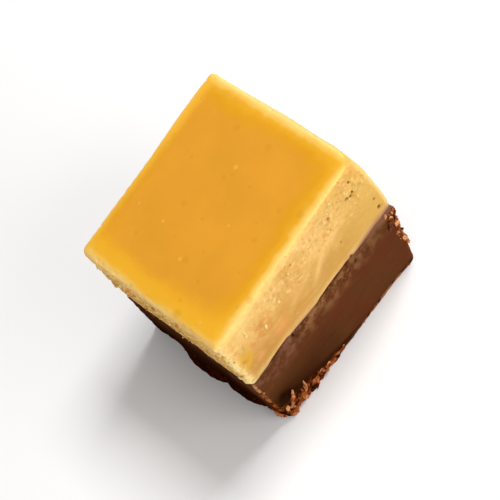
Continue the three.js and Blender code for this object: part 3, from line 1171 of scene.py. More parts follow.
class GeometryGraph(Graph):
    """A geometry node tree with named inputs."""

    FAR_BELOW = -1e6

    def __init__(self, name: str) -> None:
        """Makes the tree, with one geometry in and one out."""
        super().__init__(bpy.data.node_groups.new(name, "GeometryNodeTree"))
        self.identifiers: dict[str, str] = {}
        self.entry = self.tree.nodes.new("NodeGroupInput")
        interface = self.tree.interface
        interface.new_socket(name="Geometry", in_out="OUTPUT", socket_type="NodeSocketGeometry")
        self.geometry = self.input("Geometry", "NodeSocketGeometry")

    @property
    def place(self) -> Wire:
        """Where a point is, in millimetres."""
        return self.add("GeometryNodeInputPosition")["Position"] * (1 / MM)

    def shape(self, kind: str, output: str = "Geometry", **inputs: Any) -> Wire:
        """An output of a new geometry node, whose kind and inputs are named in short."""
        values = {name.replace("_", " ").title(): value for name, value in inputs.items()}
        return self.add(f"GeometryNode{kind}", values=values)[output]

    def input(self, name: str, kind: str = "NodeSocketFloat") -> Wire:
        """Adds a named input."""
        interface = self.tree.interface
        item = interface.new_socket(name=name, in_out="INPUT", socket_type=kind)
        self.identifiers[name] = item.identifier
        return Wire(self, self.entry.outputs[name])

    def attribute(self, name: str, vector: bool = False) -> Wire:
        """A value, or a vector, stored on the points of the mesh."""
        settings = {"data_type": "FLOAT_VECTOR" if vector else "FLOAT"}
        return self.add("GeometryNodeInputNamedAttribute", settings, {"Name": name})["Attribute"]

    def store(self, geometry: Wire, name: str, value: Wire) -> Wire:
        """Stores a value on the points."""
        settings = {"data_type": "FLOAT", "domain": "POINT"}
        values = {"Geometry": geometry, "Name": name, "Value": value}
        return self.add("GeometryNodeStoreNamedAttribute", settings, values)["Geometry"]

    def moved(self, geometry: Wire, offset: Wire) -> Wire:
        """Moves the points by an offset in millimetres."""
        return self.shape("SetPosition", geometry=geometry, offset=offset * MM)

    def kept_above(self, geometry: Wire, height: float) -> Wire:
        """Lifts the points that lie below a height in millimetres up to it."""
        place = self.place.at_least((self.FAR_BELOW, self.FAR_BELOW, height)) * MM
        return self.shape("SetPosition", geometry=geometry, position=place)

    def random(self, low: Any, high: Any, seed: int) -> Wire:
        """One number for each point, between two numbers."""
        settings = {"data_type": "FLOAT"}
        values = {"Min": low, "Max": high, "Seed": seed}
        return self.add("FunctionNodeRandomValue", settings, values)["Value"]

    def close(self, geometry: Wire, material: Wire) -> None:
        """Ends the tree: realized, in its material."""
        real = self.shape("RealizeInstances", geometry=geometry)
        dressed = self.shape("SetMaterial", geometry=real, material=material)
        self.add("NodeGroupOutput", values={"Geometry": dressed})

    def run(self, mesh: Mesh, inputs: Mapping[str, Any]) -> Mesh:
        """Runs the tree on a mesh.

        Args:
            mesh: What goes in.
            inputs: The values of the named inputs.

        Returns:
            The plain mesh that comes out.
        """
        source = new_object(mesh.name, mesh)
        modifier = source.modifiers.new(self.tree.name, "NODES")
        modifier.node_group = self.tree
        for name, value in inputs.items():
            modifier[self.identifiers[name]] = value
        depsgraph = bpy.context.evaluated_depsgraph_get()
        made = bpy.data.meshes.new_from_object(
            source.evaluated_get(depsgraph), preserve_all_data_layers=True, depsgraph=depsgraph
        )
        source.modifiers.remove(modifier)
        bpy.data.objects.remove(source)
        return made


# ---- Geometry node trees ----


def tree_inputs(sizes: Any) -> dict[str, float]:
    """The numbers that a dataclass holds, by the names of the tree inputs that take them."""
    numbers = [size.name for size in fields(sizes) if size.type is float]
    return {name.replace("_", " ").capitalize(): getattr(sizes, name) for name in numbers}


@dataclass(frozen=True)
class Relief:
    """The fine relief of a layer, in millimetres.

    Large and small crumbs share the creases by their weights. Where a crease is at its level, the
    surface stays where it was. Nicks break the turn from the top to the sides and the upright
    edges.

    Attributes:
        crumb_size: How far apart the crumbs of a crumbly side are.
        crumb_depth: How deep the creases between them are.
        grain_size: How far apart the grains of a dry side are.
        grain_depth: How far they rise and fall.
        pore_spacing: How far apart pores may lie.
        pore_depth: How deep they are.
        ridge_depth: How deep the knife's level ridges are.
        dimple_depth: How far the poured top rises and falls.
        burr_depth: How deep the creases of the burr are.
        pore_share: How many of the places for pores have one, from 0 to 1.
    """

    crumb_size: float
    crumb_depth: float
    grain_size: float
    grain_depth: float
    pore_spacing: float
    pore_depth: float
    ridge_depth: float = 0.0
    dimple_depth: float = 0.0
    burr_depth: float = 0.0
    pore_share: float = 0.02

    CRUMB_STRETCH = 1.5
    CRUMB_SEED = 1
    SMALL_CRUMB_SEED = 2
    SMALL_CRUMB = 0.5
    LARGE_WEIGHT = 0.65
    CELL_RADIUS = 0.62
    CRUMB_LEVEL = 0.4
    BURR_LEVEL = 0.45
    GRAIN_SEED = 3
    GRAIN_DETAIL = 3.0
    GRAIN_STRENGTH = Span(0.2, 1.0)
    RIDGES = Noise(0.32, 4, stretch=14.0)
    DIMPLES = Noise(2.6, 5, detail=1.0)
    NICKS = Noise(0.8, 6, Span(0.5, 0.72), detail=3.0)
    NICK_DEPTH = 0.14
    UPRIGHT_NICKS = 1.6
    PORE_SEED = 7
    PORE_RADIUS = 0.2
    STREAK_PORES = 0.5
    PORE_DARKNESS = 0.7
    POCKS = Specks(3.4, 0.34, 0.2, 8)
    POCK_DEPTH = 0.06
    TORN_DEPTH = 0.3

    def apply(self, mesh: Mesh, material: Material) -> Mesh:
        """Raises the relief on a layer's mesh.

        Args:
            mesh: The layer's mesh, with its masks.
            material: What it is dressed in.

        Returns:
            The finished mesh, which also holds how deep its pores and creases are.
        """
        graph = GeometryGraph("relief")
        sizes = tree_inputs(self)
        knob = {name: graph.input(name) for name in sizes}
        dress = graph.input("Material", "NodeSocketMaterial")

        crumbly = graph.attribute("crumbly")
        poured = graph.attribute("poured")
        burr = graph.attribute("burr")
        cut = 1 - poured

        crumb_size = knob["Crumb size"]
        lumps = graph.cells(crumb_size, self.CRUMB_SEED, stretch=self.CRUMB_STRETCH)
        small_size = crumb_size * self.SMALL_CRUMB
        crumbs = graph.cells(small_size, self.SMALL_CRUMB_SEED, stretch=self.CRUMB_STRETCH)
        large, small = ((cells.distance / self.CELL_RADIUS) ** 2 for cells in (lumps, crumbs))
        crease = (large * self.LARGE_WEIGHT + small * (1 - self.LARGE_WEIGHT)).clamped()
        turn = poured * cut * BAND_PEAK + graph.attribute("upright_edge") * self.UPRIGHT_NICKS
        in_streak = graph.attribute("streak") * self.STREAK_PORES
        likely = in_streak + graph.attribute("porous") * knob["Pore share"]
        spacing = knob["Pore spacing"]
        pores = Specks(spacing, spacing * self.PORE_RADIUS, likely, self.PORE_SEED)
        pore = graph.spots(graph.on_side, pores) * cut * (1 - burr)
        pock = graph.spots(graph.place, self.POCKS) * poured

        granular = self.GRAIN_STRENGTH.at(graph.attribute("granular"))
        grain = Noise(knob["Grain size"], self.GRAIN_SEED, detail=self.GRAIN_DETAIL)
        height = crumbly * knob["Crumb depth"] * (self.CRUMB_LEVEL - crease)
        height += burr * knob["Burr depth"] * graph.attribute("flaky") * (self.BURR_LEVEL - crease)
        height += granular * cut * knob["Grain depth"] * graph.sway(grain)
        height += cut * (1 - crumbly) * knob["Ridge depth"] * graph.sway(self.RIDGES)
        height += poured * knob["Dimple depth"] * graph.sway(self.DIMPLES)
        height -= turn.clamped() * self.NICK_DEPTH * graph.noise(self.NICKS)
        height -= pore * knob["Pore depth"]
        height -= pock * self.POCK_DEPTH
        height -= graph.attribute("torn") * self.TORN_DEPTH
        height *= graph.attribute("hold")

        # Kept for the finishes: painted shade for the pores, the creases, each lump's draw, and the
        # pocks.
        kept = {
            "pore": (pore * self.PORE_DARKNESS).at_least(graph.attribute("pit")),
            "crease": crease,
            "lump": lumps.chance,
            "pock": pock,
        }
        geometry = graph.geometry
        for name, value in kept.items():
            geometry = graph.store(geometry, name, value)
        geometry = graph.moved(geometry, graph.attribute("facing", vector=True) * height)
        graph.close(geometry, dress)
        return graph.run(mesh, {**sizes, "Material": material})


@dataclass(frozen=True)
class Strewing:
    """Loose crumbs strewn over a layer, and the larger flakes that lie among them.

    Attributes:
        mask: The attribute of the layer that says how thickly they lie.
        seed: Which crumbs they are.
        density: How many lie on a square millimetre where they lie thickest.
        smallest: The smallest crumb's size, in millimetres.
        largest: The largest crumb's size.
        raggedness: How far a crumb's skin stands in or out, as a share of its size.
        length: The longest that a crumb is, in its own size.
        thickness: How thick it is, as a share of its width.
        toasting: How much a crumb's tint follows the painted light there: orange where lit, dark in
            shade.
    """

    mask: str
    seed: int
    density: float
    smallest: float
    largest: float
    raggedness: float
    length: float
    thickness: float
    toasting: float = 0.0

    FULL_TURN = 2 * math.pi
    SHORTEST = 0.9
    NARROWEST = 0.6
    SMALL_MANY = 2.5
    SKIN_LEVEL = 2
    ROUGH_SIZE = 0.45
    ROUGH_DETAIL = 3.0

    def crumbs(self, graph: "GeometryGraph", knob: Mapping[str, Wire]) -> Wire:
        """Smooth crumbs on the layer that comes into a tree with these inputs, realized."""
        seeds = iter(range(self.seed, self.seed + 8))
        density = knob["Density"] * graph.attribute(self.mask) * (1 / MM**2)
        points = graph.shape(
            "DistributePointsOnFaces", "Points", mesh=graph.geometry, density=density, seed=next(seeds)
        )
        share = graph.random(0.0, 1.0, next(seeds)) ** self.SMALL_MANY
        size = (knob["Smallest"] + (knob["Largest"] - knob["Smallest"]) * share) * MM
        points = graph.store(points, "crumb_size", size)
        # The crumbs' tint is darkened where the painted light is low, as far as the input asks.
        toasted = 1 - knob["Toasting"] * (1 - graph.attribute("toasted"))
        points = graph.store(points, "tint", graph.random(0.0, 1.0, next(seeds)) * toasted)
        crumb = graph.shape("MeshIcoSphere", "Mesh", radius=0.5, subdivisions=self.SKIN_LEVEL)
        turn = graph.vector(*(graph.random(0.0, self.FULL_TURN, next(seeds)) for _ in range(3)))
        length = size * graph.random(self.SHORTEST, knob["Length"], next(seeds))
        width = size * graph.random(self.NARROWEST, 1.0, next(seeds))
        turned = graph.add("FunctionNodeEulerToRotation", values={"Euler": turn})["Rotation"]
        scale = graph.vector(length, width, width * knob["Thickness"])
        crumbs = graph.shape(
            "InstanceOnPoints", "Instances", points=points, instance=crumb, rotation=turned, scale=scale
        )
        return graph.shape("RealizeInstances", geometry=crumbs)

    def apply(self, layer: Mesh, flakes: Mesh, material: Material) -> Mesh:
        """Strews the crumbs over a layer.

        Args:
            layer: The layer's finished mesh.
            flakes: The coarse larger flakes.
            material: What crumbs and flakes are dressed in.

        Returns:
            The mesh of the crumbs and flakes, without the layer.
        """
        graph = GeometryGraph("strewing")
        sizes = tree_inputs(self)
        knob = {name: graph.input(name) for name in sizes}
        bed = graph.input("Flakes", "NodeSocketObject")
        dress = graph.input("Material", "NodeSocketMaterial")

        coarse = graph.shape("ObjectInfo", object=bed)
        coarse = graph.shape("SubdivisionSurface", "Mesh", mesh=coarse, level=self.SKIN_LEVEL)
        geometry = graph.shape("JoinGeometry", geometry=[self.crumbs(graph, knob), coarse])
        wander = graph.sway_vector(Noise(self.ROUGH_SIZE, self.seed, detail=self.ROUGH_DETAIL))
        ragged = wander * (graph.attribute("crumb_size") * (knob["Raggedness"] / MM))
        geometry = graph.kept_above(graph.moved(geometry, ragged), 0.0)
        graph.close(graph.shape("SetShadeSmooth", geometry=geometry), dress)

        flake_object = new_object(flakes.name, flakes)
        made = graph.run(layer.copy(), {**sizes, "Flakes": flake_object, "Material": material})
        bpy.data.objects.remove(flake_object)
        return made


@dataclass(frozen=True)
class Curl:
    """The one long curl that stands up beside the front left corner of the foot.

    It is narrow at its foot, widens fast and then tapers to its tip, and it is paler higher up.

    Attributes:
        middle: Its middle, in millimetres.
        along: The way that it leans.
        size: From its foot to its tip, its widest and its thickest.
        bend: How far its middle bows to the right.
    """

    middle: Vector
    along: Vector
    size: FlakeSize
    bend: float

    STEPS = 28
    SIDES = 14
    FOOT_WIDTH = 0.3
    FOOT_WIDENING = 6
    TIP = 1.03
    TAPER = 0.6
    WANDER = Noise(0.6, 61, detail=3.0)
    ROUGHNESS = 0.7
    TINTS = Noise(0.7, 62, Span(0.3, 0.7))
    TINT_SPREAD = 0.4
    TINT_RISE = 0.15

    def build(self, material: Material) -> Mesh:
        """Makes the curl.

        Args:
            material: What it is dressed in.

        Returns:
            The mesh, in metres.
        """
        graph = GeometryGraph("curl")
        start = graph.input("Start", "NodeSocketVector")
        end = graph.input("End", "NodeSocketVector")
        bend, width, thickness = map(graph.input, ("Bend", "Width", "Thickness"))
        dress = graph.input("Material", "NodeSocketMaterial")

        spine = graph.shape("CurvePrimitiveLine", "Curve", start=start, end=end)
        spine = graph.shape("ResampleCurve", "Curve", curve=spine, count=self.STEPS)
        share = graph.shape("SplineParameter", "Factor")
        bow = graph.math("SINE", share * math.pi)
        spine = graph.moved(spine, graph.vector(bow * bend, 0.0, 0.0))
        foot = (share * self.FOOT_WIDENING + self.FOOT_WIDTH).clamped()
        taper = (self.TIP - share).clamped() ** self.TAPER * foot
        spine = graph.shape("SetCurveRadius", "Curve", curve=spine, radius=taper)
        ring = graph.shape("CurvePrimitiveCircle", "Curve", resolution=self.SIDES, radius=0.5)
        ring = graph.shape("Transform", geometry=ring, scale=graph.vector(width, thickness, 1.0) * MM)
        body = graph.shape(
            "CurveToMesh", "Mesh", curve=spine, profile_curve=ring, scale=taper, fill_caps=True
        )
        body = graph.shape("SetShadeSmooth", geometry=body)
        body = graph.moved(body, graph.sway_vector(self.WANDER) * (width * self.ROUGHNESS))
        _, _, height = graph.place.parts()
        tint = graph.noise(self.TINTS) * self.TINT_SPREAD + height * self.TINT_RISE
        graph.close(graph.kept_above(graph.store(body, "tint", tint), 0.0), dress)

        half = self.along.normalized() * self.size.length / 2
        inputs = {
            "Start": (self.middle - half) * MM,
            "End": (self.middle + half) * MM,
            "Bend": self.bend,
            "Width": self.size.width,
            "Thickness": self.size.thickness,
            "Material": material,
        }
        return graph.run(bpy.data.meshes.new("curl"), inputs)


# ---- Finishes ----

PEANUT_WARM = srgb(212, 142, 68)
PEANUT_DRAG = srgb(246, 200, 124)
# Painted highlight on the cut sides' top edge and upright edges, and painted light on the upper left.
PEANUT_EDGE_HIGHLIGHT = srgb(250, 208, 128)
# Painted shade in pores and the pits of specks, and the dark of the join's crack.
PEANUT_SHADE_AND_CRACK = srgb(96, 44, 16)
# Orange edge tone: the pale drags, and the painted highlight on the upright edges.
CHOCOLATE_EDGE = srgb(122, 62, 20)
# Deep chocolate, also used for the painted shade over the burr and on the left side.
CHOCOLATE_DEEP = srgb(44, 19, 6)

Mask = Noise | str | tuple[str, float, float]
Values = Mapping[str, Wire]
RUBBED = ("along", 19.0, 25.0)


class Coat:
    """One tone of a finish, laid over the tones before it."""

    def __init__(self, name: str, color: Color | str, strength: float, *masks: Mask) -> None:
        """Notes what it is made of.

        Args:
            name: What it is.
            color: Its colour, or the name of the finish's own value that holds it.
            strength: How well it covers where its masks are full.
            masks: What it is kept to, all at once: noise, or the name of a value of the finish
                or of an attribute, with the stretch over which it rises if it isn't a share.
        """
        self.name = name
        self.color = color
        self.strength = strength
        self.masks = masks

    @staticmethod
    def share(graph: ShaderGraph, mask: Mask, values: Values) -> Wire:
        """How much of a point a mask lets through, from 0 to 1."""
        if isinstance(mask, Noise):
            return graph.noise(mask)
        name, *stretch = [mask] if isinstance(mask, str) else mask
        share = values[name] if name in values else graph.attribute(name)
        return share.smooth(*stretch) if stretch else share

    def lay(self, graph: ShaderGraph, under: Any, values: Values) -> Wire:
        """Lays it over a colour, with the finish's own values by name."""
        share = self.strength
        for mask in self.masks:
            part = self.share(graph, mask, values)
            share = part if share == 1 else part * share
        color = values[self.color] if isinstance(self.color, str) else self.color
        mixed = graph.color_mix(share, under, color)
        mixed.socket.node.label = self.name
        return mixed


def painted(graph: ShaderGraph, ground: Any, coats: tuple[Coat, ...], values: Values) -> Wire:
    """A colour with coats laid over it in order, with the finish's own values by name."""
    color = ground
    for coat in coats:
        color = coat.lay(graph, color, values)
    return color


@dataclass(frozen=True)
class Skin:
    """What light does on and in a piece.

    Attributes:
        grain_depth: How deep its finest grain is, in millimetres.
        glow: The share of the light that gets in.
        glow_reach: How far that light spreads, in millimetres.
        glow_spread: How far red, green and blue get of it.
        shine: How strongly it reflects.
        shine_color: The colour of what it reflects.
    """

    grain_depth: float
    glow: float
    glow_reach: float
    glow_spread: Triple
    shine: float
    shine_color: Color = WHITE

    def dress(self, graph: ShaderGraph, color: Wire, roughness: Wire, grain: Wire) -> Material:
        """Ends a material's tree, with the height of its finest grain as a share of its depth."""
        values = {
            "Base Color": color,
            "Roughness": roughness,
            "Specular IOR Level": self.shine,
            "Specular Tint": self.shine_color,
            "Subsurface Weight": self.glow,
            "Subsurface Radius": self.glow_spread,
            "Subsurface Scale": self.glow_reach * MM,
            "Normal": graph.bump(grain, self.grain_depth * MM),
        }
        return graph.surface(values)


@dataclass(frozen=True)
class PouredTop:
    """The poured top of the peanut-butter fudge: amber, with a painted highlight, yellower and then
    paler, to its edges.

    "inward" is 0 at the nearest edge and 1 where the rim ends. The painted highlight's tones stand along
    it.
    """

    poured: Color = srgb(216, 150, 42)
    # The painted rim highlight: how wide it is, and how its width wanders.
    rim_width: float = 5.0
    rim_wander: Noise = Noise(1.8, 12, spread=Span(0.6, 1.4))
    # Painted highlight along the top's edges: pale at the edge, yellower further in, then the poured
    # amber.
    rim_tones: Tones = (
        (0.04, srgb(246, 206, 122)),
        (0.15, srgb(236, 190, 95)),
        (0.28, srgb(224, 164, 38)),
        (0.5, srgb(219, 154, 28)),
        (1.0, poured),
    )
    back_wander: float = 1.6
    flecks: Specks = Specks(7.0, 0.45, 0.5, 13)
    freckles: Specks = Specks(6.0, 0.85, 0.5, 14)
    freckle_strength: float = 0.25
    pock_strength: float = 0.2
    cloud: Coat = Coat("cloud", srgb(222, 154, 44), 0.8, Noise(6.0, 11, Span(0.35, 0.7)))
    coats: tuple[Coat, ...] = (
        # The left and back rims belong to the painted edge highlight.
        Coat("left rim", srgb(238, 178, 46), 0.8, ("x", -8.0, -14.5), ("inward", 0.05, 0.3)),
        Coat("middle", "middle", 1.0, ("inward", 0.5, 1.0)),
        Coat("back rim", srgb(252, 194, 72), 0.55, ("back", 11.4, 13.6)),
        Coat("flecks", srgb(240, 186, 98), 0.4, "flecks"),
        # Darker freckles, and painted shade in the pocks.
        Coat("freckles", srgb(196, 130, 26), 1.0, "freckled"),
    )

    def color(self, graph: ShaderGraph) -> Wire:
        """The colour at each point."""
        x, y, _ = graph.place.parts()
        wander = graph.noise(self.rim_wander)
        inward = graph.attribute("rim") * wander * (1 / self.rim_width)
        freckle = graph.spots(graph.place, self.freckles) * self.freckle_strength
        values = {
            "x": x,
            "back": y + (wander - 1) * self.back_wander,
            "inward": inward,
            "middle": self.cloud.lay(graph, self.poured, {}),
            "flecks": graph.spots(graph.place, self.flecks),
            "freckled": freckle.at_least(graph.attribute("pock") * self.pock_strength),
        }
        return painted(graph, graph.ramp(self.rim_tones, inward), self.coats, values)


@dataclass(frozen=True)
class CutPeanut:
    """The cut sides of the peanut-butter fudge: blotched, warmer to the left, grainy where dry.

    "straight" and the wavering "along" run along the left side from the back, past the front left
    edge near 0, and to the right end of the front. The painted highlight of the edge, and the
    painted light on the left, lie in bands under the top.
    """

    height: float
    ground: Color = srgb(235, 188, 111)
    along_sway: Noise = Noise(4.0, 24, reach=9)
    height_sway: Noise = Noise(3.0, 26, reach=5)
    grains: Noise = Noise(0.6, 16, detail=4.0)
    grain_spread: Span = Span(0.1, 0.55)
    # Bands under the top: the painted highlight of the edge, and the painted light of the left cream.
    lip_band: Span = Span(1.9, 0.8)
    cream_band: Span = Span(2.6, 0.6)
    stain_patches: Noise = Noise(0.9, 28, detail=3.0, spread=Span(0.6, 1.4))
    smears: Noise = Noise(0.5, 18, Span(0.3, 0.6), stretch=3.0)
    smear_band: Span = Span(0.7, 0.1)
    smear_line: Span = Span(0.45, 0.0)
    smear_line_strength: float = 0.8
    # How far the near edge's painted highlight is pushed to full.
    near_edge_fill: float = 1.3
    # Where the creases' painted shade starts and is full, and how much of it the near edge loses.
    creased: Span = Span(0.3, 1.0)
    crease_lost_at_edge: float = 0.7
    coats: tuple[Coat, ...] = (
        Coat("deep", srgb(222, 172, 92), 1.0, Noise(3.2, 15, Span(0.35, 0.65), detail=3.0)),
        Coat("low", srgb(198, 147, 68), 0.85, ("uneven", 20.0, 15.0)),
        Coat("straw", srgb(220, 176, 84), 0.6, ("along", 17.0, 26.0)),
        Coat("warm", PEANUT_WARM, 0.7, Noise(1.7, 17, Span(0.4, 0.62), detail=3.0),
             ("along", 15.0, 6.0), ("uneven", 23.5, 20.5)),
        # Painted light: the left and back sides made lighter, as if lit as brightly as the front.
        Coat("amber", srgb(242, 196, 106), 0.6, ("along", 3.0, -1.0)),
        Coat("shade", srgb(184, 134, 60), 0.5, ("along", 12.0, 3.0), ("height", 18.0, 14.5)),
        Coat("blush", srgb(228, 158, 86), 0.65, "blush"),
        Coat("drag", PEANUT_DRAG, 0.1, Noise(0.8, 25, Span(0.48, 0.74), 3.0, stretch=3.5)),
        Coat("dragged pale", PEANUT_DRAG, 0.6, "smear"),
        Coat("deep grains", srgb(200, 142, 70), 1.0, "grainy", ("grains", 0.54, 0.7)),
        Coat("pale grains", srgb(250, 212, 146), 1.0, "grainy", ("grains", 0.48, 0.3)),
        # Painted highlight under the top, where the cut edge catches the light.
        Coat("lip", PEANUT_EDGE_HIGHLIGHT, 0.8, "lip",
             Noise(1.5, 29, Span(0.35, 0.6), detail=3.0, spread=Span(0.4, 1.0)), ("along", 24.0, 12.0)),
        # Painted light on the upper left, and a paler cream band of it under the top on the left.
        Coat("lit left", PEANUT_EDGE_HIGHLIGHT, 0.5, ("height", 19.0, 22.0), ("along", 11.0, 4.0)),
        Coat("left cream", srgb(255, 208, 124), 0.85, "cream", ("straight", 1.0, -2.0)),
        Coat("stain", srgb(222, 166, 52), 0.75, ("stained", 0.2, 0.8)),
        Coat("deep stain", srgb(178, 132, 36), 0.6, ("stained", 0.85, 1.1)),
        Coat("cream over the join", srgb(236, 194, 128), 0.6, ("over_join", 1.8, 0.5),
             Noise(2.2, 30, Span(0.25, 0.6))),
        Coat("smear", srgb(196, 148, 98), 0.75, "smeared"),
        Coat("rubbed join", srgb(172, 118, 84), 0.9, ("over_join", 1.7, 0.0), RUBBED),
        # Painted highlight along the upright edges.
        Coat("upright edge", PEANUT_EDGE_HIGHLIGHT, 0.5, "upright_edge"),
        # Painted highlight along the front left upright edge.
        Coat("near edge", srgb(255, 226, 158), 0.85, "near_edge_filled",
             Noise(0.7, 27, Span(0.3, 0.55), detail=3.0)),
        # Painted shade in the creases between crumbs, less on the near edge.
        Coat("creases", PEANUT_WARM, 0.45, "crumb_crease"),
        # Painted shade round and in the pores; the crack's dark line is the join's own.
        Coat("rims of the pores", srgb(184, 128, 56), 0.6, ("pore", 0.1, 0.6)),
        Coat("pores", PEANUT_SHADE_AND_CRACK, 0.95, ("pore", 0.3, 0.85)),
        Coat("crack", PEANUT_SHADE_AND_CRACK, 0.2, "crack"),
    )

    def color(self, graph: ShaderGraph) -> Wire:
        """The colour at each point."""
        x, y, z = graph.place.parts()
        over = graph.attribute("over_join")
        near = graph.attribute("near_edge")
        smear = self.smear_band.rise(over) * graph.noise(self.smears)
        crease = self.creased.rise(graph.attribute("crease") * graph.attribute("crumbly"))
        values = {
            "straight": x - y,
            "along": x - y + graph.sway(self.along_sway),
            "height": z,
            "uneven": z + graph.sway(self.height_sway),
            "grains": graph.noise(self.grains),
            "grainy": self.grain_spread.at(graph.attribute("granular")),
            "lip": self.lip_band.back_from(self.height).rise(z),
            "cream": self.cream_band.back_from(self.height).rise(z),
            "stained": graph.attribute("stain") * graph.noise(self.stain_patches),
            "smeared": smear.at_least(self.smear_line.rise(over) * self.smear_line_strength),
            "near_edge_filled": (near * self.near_edge_fill).clamped(),
            "crumb_crease": crease * (1 - near * self.crease_lost_at_edge),
        }
        return painted(graph, self.ground, self.coats, values)


@dataclass(frozen=True)
class PeanutFinish:
    """Peanut-butter fudge: amber and satin where it was poured, paler and dry where it was cut."""

    cut: CutPeanut
    top: PouredTop = PouredTop()
    skin: Skin = Skin(
        grain_depth=0.045, glow=0.35, glow_reach=1.0, glow_spread=(1.0, 0.5, 0.18),
        shine=0.22, shine_color=srgb(255, 214, 140),
    )
    top_sway: Noise = Noise(0.9, 19, detail=3.0, reach=0.5)
    top_from: Span = Span(0.3, 0.62)
    specks: Specks = Specks(0.62, 0.16, 1.0, 20)
    specks_in_grain: float = 0.18
    specks_in_streak: float = 0.45
    # Painted shade in the tiny pits of the specks.
    speck: Coat = Coat("specks", PEANUT_SHADE_AND_CRACK, 0.26, "specks")
    speck_depth: float = 1.6
    fine_grain: Noise = Noise(0.16, 21, detail=4.0)
    top_grain: Noise = Noise(0.5, 22)
    top_grain_depth: float = 0.35
    satin: Noise = Noise(1.4, 23, spread=Span(0.42, 0.56))
    dry_roughness: float = 0.2

    def material(self) -> Material:
        """Makes the material."""
        graph = ShaderGraph("peanut_butter_fudge")
        top = self.top_from.rise(graph.attribute("poured") + graph.sway(self.top_sway))
        in_grain = graph.attribute("granular") * self.specks_in_grain
        likely = in_grain + graph.attribute("streak") * self.specks_in_streak
        specks = graph.spots(graph.on_side, replace(self.specks, share=likely))
        side = self.speck.lay(graph, self.cut.color(graph), {"specks": specks})
        color = graph.color_mix(top, side, self.top.color(graph))
        grain = graph.noise(self.fine_grain) * (1 - top)
        grain = grain + graph.noise(self.top_grain) * top * self.top_grain_depth
        grain = grain - specks * (1 - top) * self.speck_depth
        roughness = graph.noise(self.satin) + (1 - top) * self.dry_roughness
        return self.skin.dress(graph, color, roughness, grain)


@dataclass(frozen=True)
class SmearedChocolate:
    """Chocolate fudge where the knife smeared it: darker low on the left, with bloom high up, and with
    painted shade on its left side and over the burr.

    "straight" and "along" run as in CutPeanut, and "under" counts down from the join.
    """

    ground: Color = srgb(92, 54, 29)
    cloud_band: Span = Span(5.0, 17.0)
    cloud_spread: Span = Span(0.2, 0.8)
    along_sway: Noise = Noise(3.0, 37, reach=6)
    drags: Noise = Noise(0.45, 39, detail=3.0, stretch=9.0)
    # Painted highlight on the front left upright edge: cream high up, orange lower down.
    edge_tone: Coat = Coat("high on the edge", srgb(226, 168, 122), 1.0, ("height", 5.0, 10.0))
    edge_low: Color = srgb(176, 92, 36)
    bloom_tone: Coat = Coat("rose bloom", srgb(140, 93, 72), 1.0, ("along", 11.0, 5.0))
    bloom: Color = srgb(148, 102, 64)
    lumps: Noise = Noise(1.5, 33, Span(0.36, 0.72), detail=1.5)
    lumps_under: Span = Span(4.6, 1.6)
    lumps_share: float = 0.8
    dust: Noise = Noise(0.4, 32, Span(0.48, 0.7), detail=3.0)
    dust_under: Span = Span(3.4, 0.3)
    dust_share: float = 0.7
    bloom_from: Span = Span(-4.0, 8.0)
    bloom_to: Span = Span(26.0, 17.0)
    bloom_spread: Span = Span(0.45, 0.95)
    coats: tuple[Coat, ...] = (
        Coat("red", srgb(96, 47, 28), 1.0, Noise(4.0, 31, Span(0.35, 0.65)),
             "clouded"),
        Coat("pale drags", CHOCOLATE_EDGE, 0.14, ("drags", 0.5, 0.75)),
        Coat("deep drags", CHOCOLATE_DEEP, 0.16, ("drags", 0.5, 0.25)),
        Coat("low", CHOCOLATE_DEEP, 0.8, ("along", 18.0, 1.0), ("height", 9.5, 3.0)),
        Coat("shade over the burr", CHOCOLATE_DEEP, 0.8, ("over_burr", 0.0, 0.4)),
        # Painted shade on the left side.
        Coat("left side", CHOCOLATE_DEEP, 0.7, ("straight", -2.0, -5.0)),
        # Painted highlight on the nicked upright edges, only where the painted light falls on the flakes.
        Coat("worn edges", CHOCOLATE_EDGE, 0.7, "upright_edge",
             Noise(0.8, 40, Span(0.38, 0.6), detail=3.0), "toasted"),
        # Painted highlight on the front left upright edge.
        Coat("near edge", "edge_tone", 0.75, ("upright_edge", 0.5, 1.0), "near_edge",
             Noise(0.8, 46, Span(0.38, 0.6), detail=3.0)),
        # Painted highlight along the foot's edge at the right of the front.
        Coat("pale line of the foot", srgb(192, 128, 78), 0.65, ("height", 0.5, 0.25),
             ("along", 10.0, 18.0), ("along", 27.0, 22.0), Noise(1.2, 47, Span(0.35, 0.6), detail=3.0)),
        Coat("bloom", "bloom_tone", 0.9, "bloomed"),
        Coat("rubbed join", srgb(138, 94, 72), 0.75, ("under", 1.6, 0.0), RUBBED),
    )

    def color(self, graph: ShaderGraph) -> Wire:
        """The colour at each point."""
        x, y, z = graph.place.parts()
        along = x - y + graph.sway(self.along_sway)
        under = 0 - graph.attribute("over_join")
        lumps = graph.noise(self.lumps) * self.lumps_under.rise(under) * self.lumps_share
        dust = graph.noise(self.dust) * self.dust_under.rise(under) * self.dust_share
        middle = self.bloom_to.rise(along) * self.bloom_from.rise(along)
        values = {
            "straight": x - y,
            "along": along,
            "height": z,
            "under": under,
            "clouded": self.cloud_spread.at(self.cloud_band.rise(along)),
            "drags": graph.noise(self.drags),
            "bloomed": (lumps + dust).clamped() * self.bloom_spread.at(middle),
        }
        values["edge_tone"] = self.edge_tone.lay(graph, self.edge_low, values)
        values["bloom_tone"] = self.bloom_tone.lay(graph, self.bloom, values)
        return painted(graph, self.ground, self.coats, values)


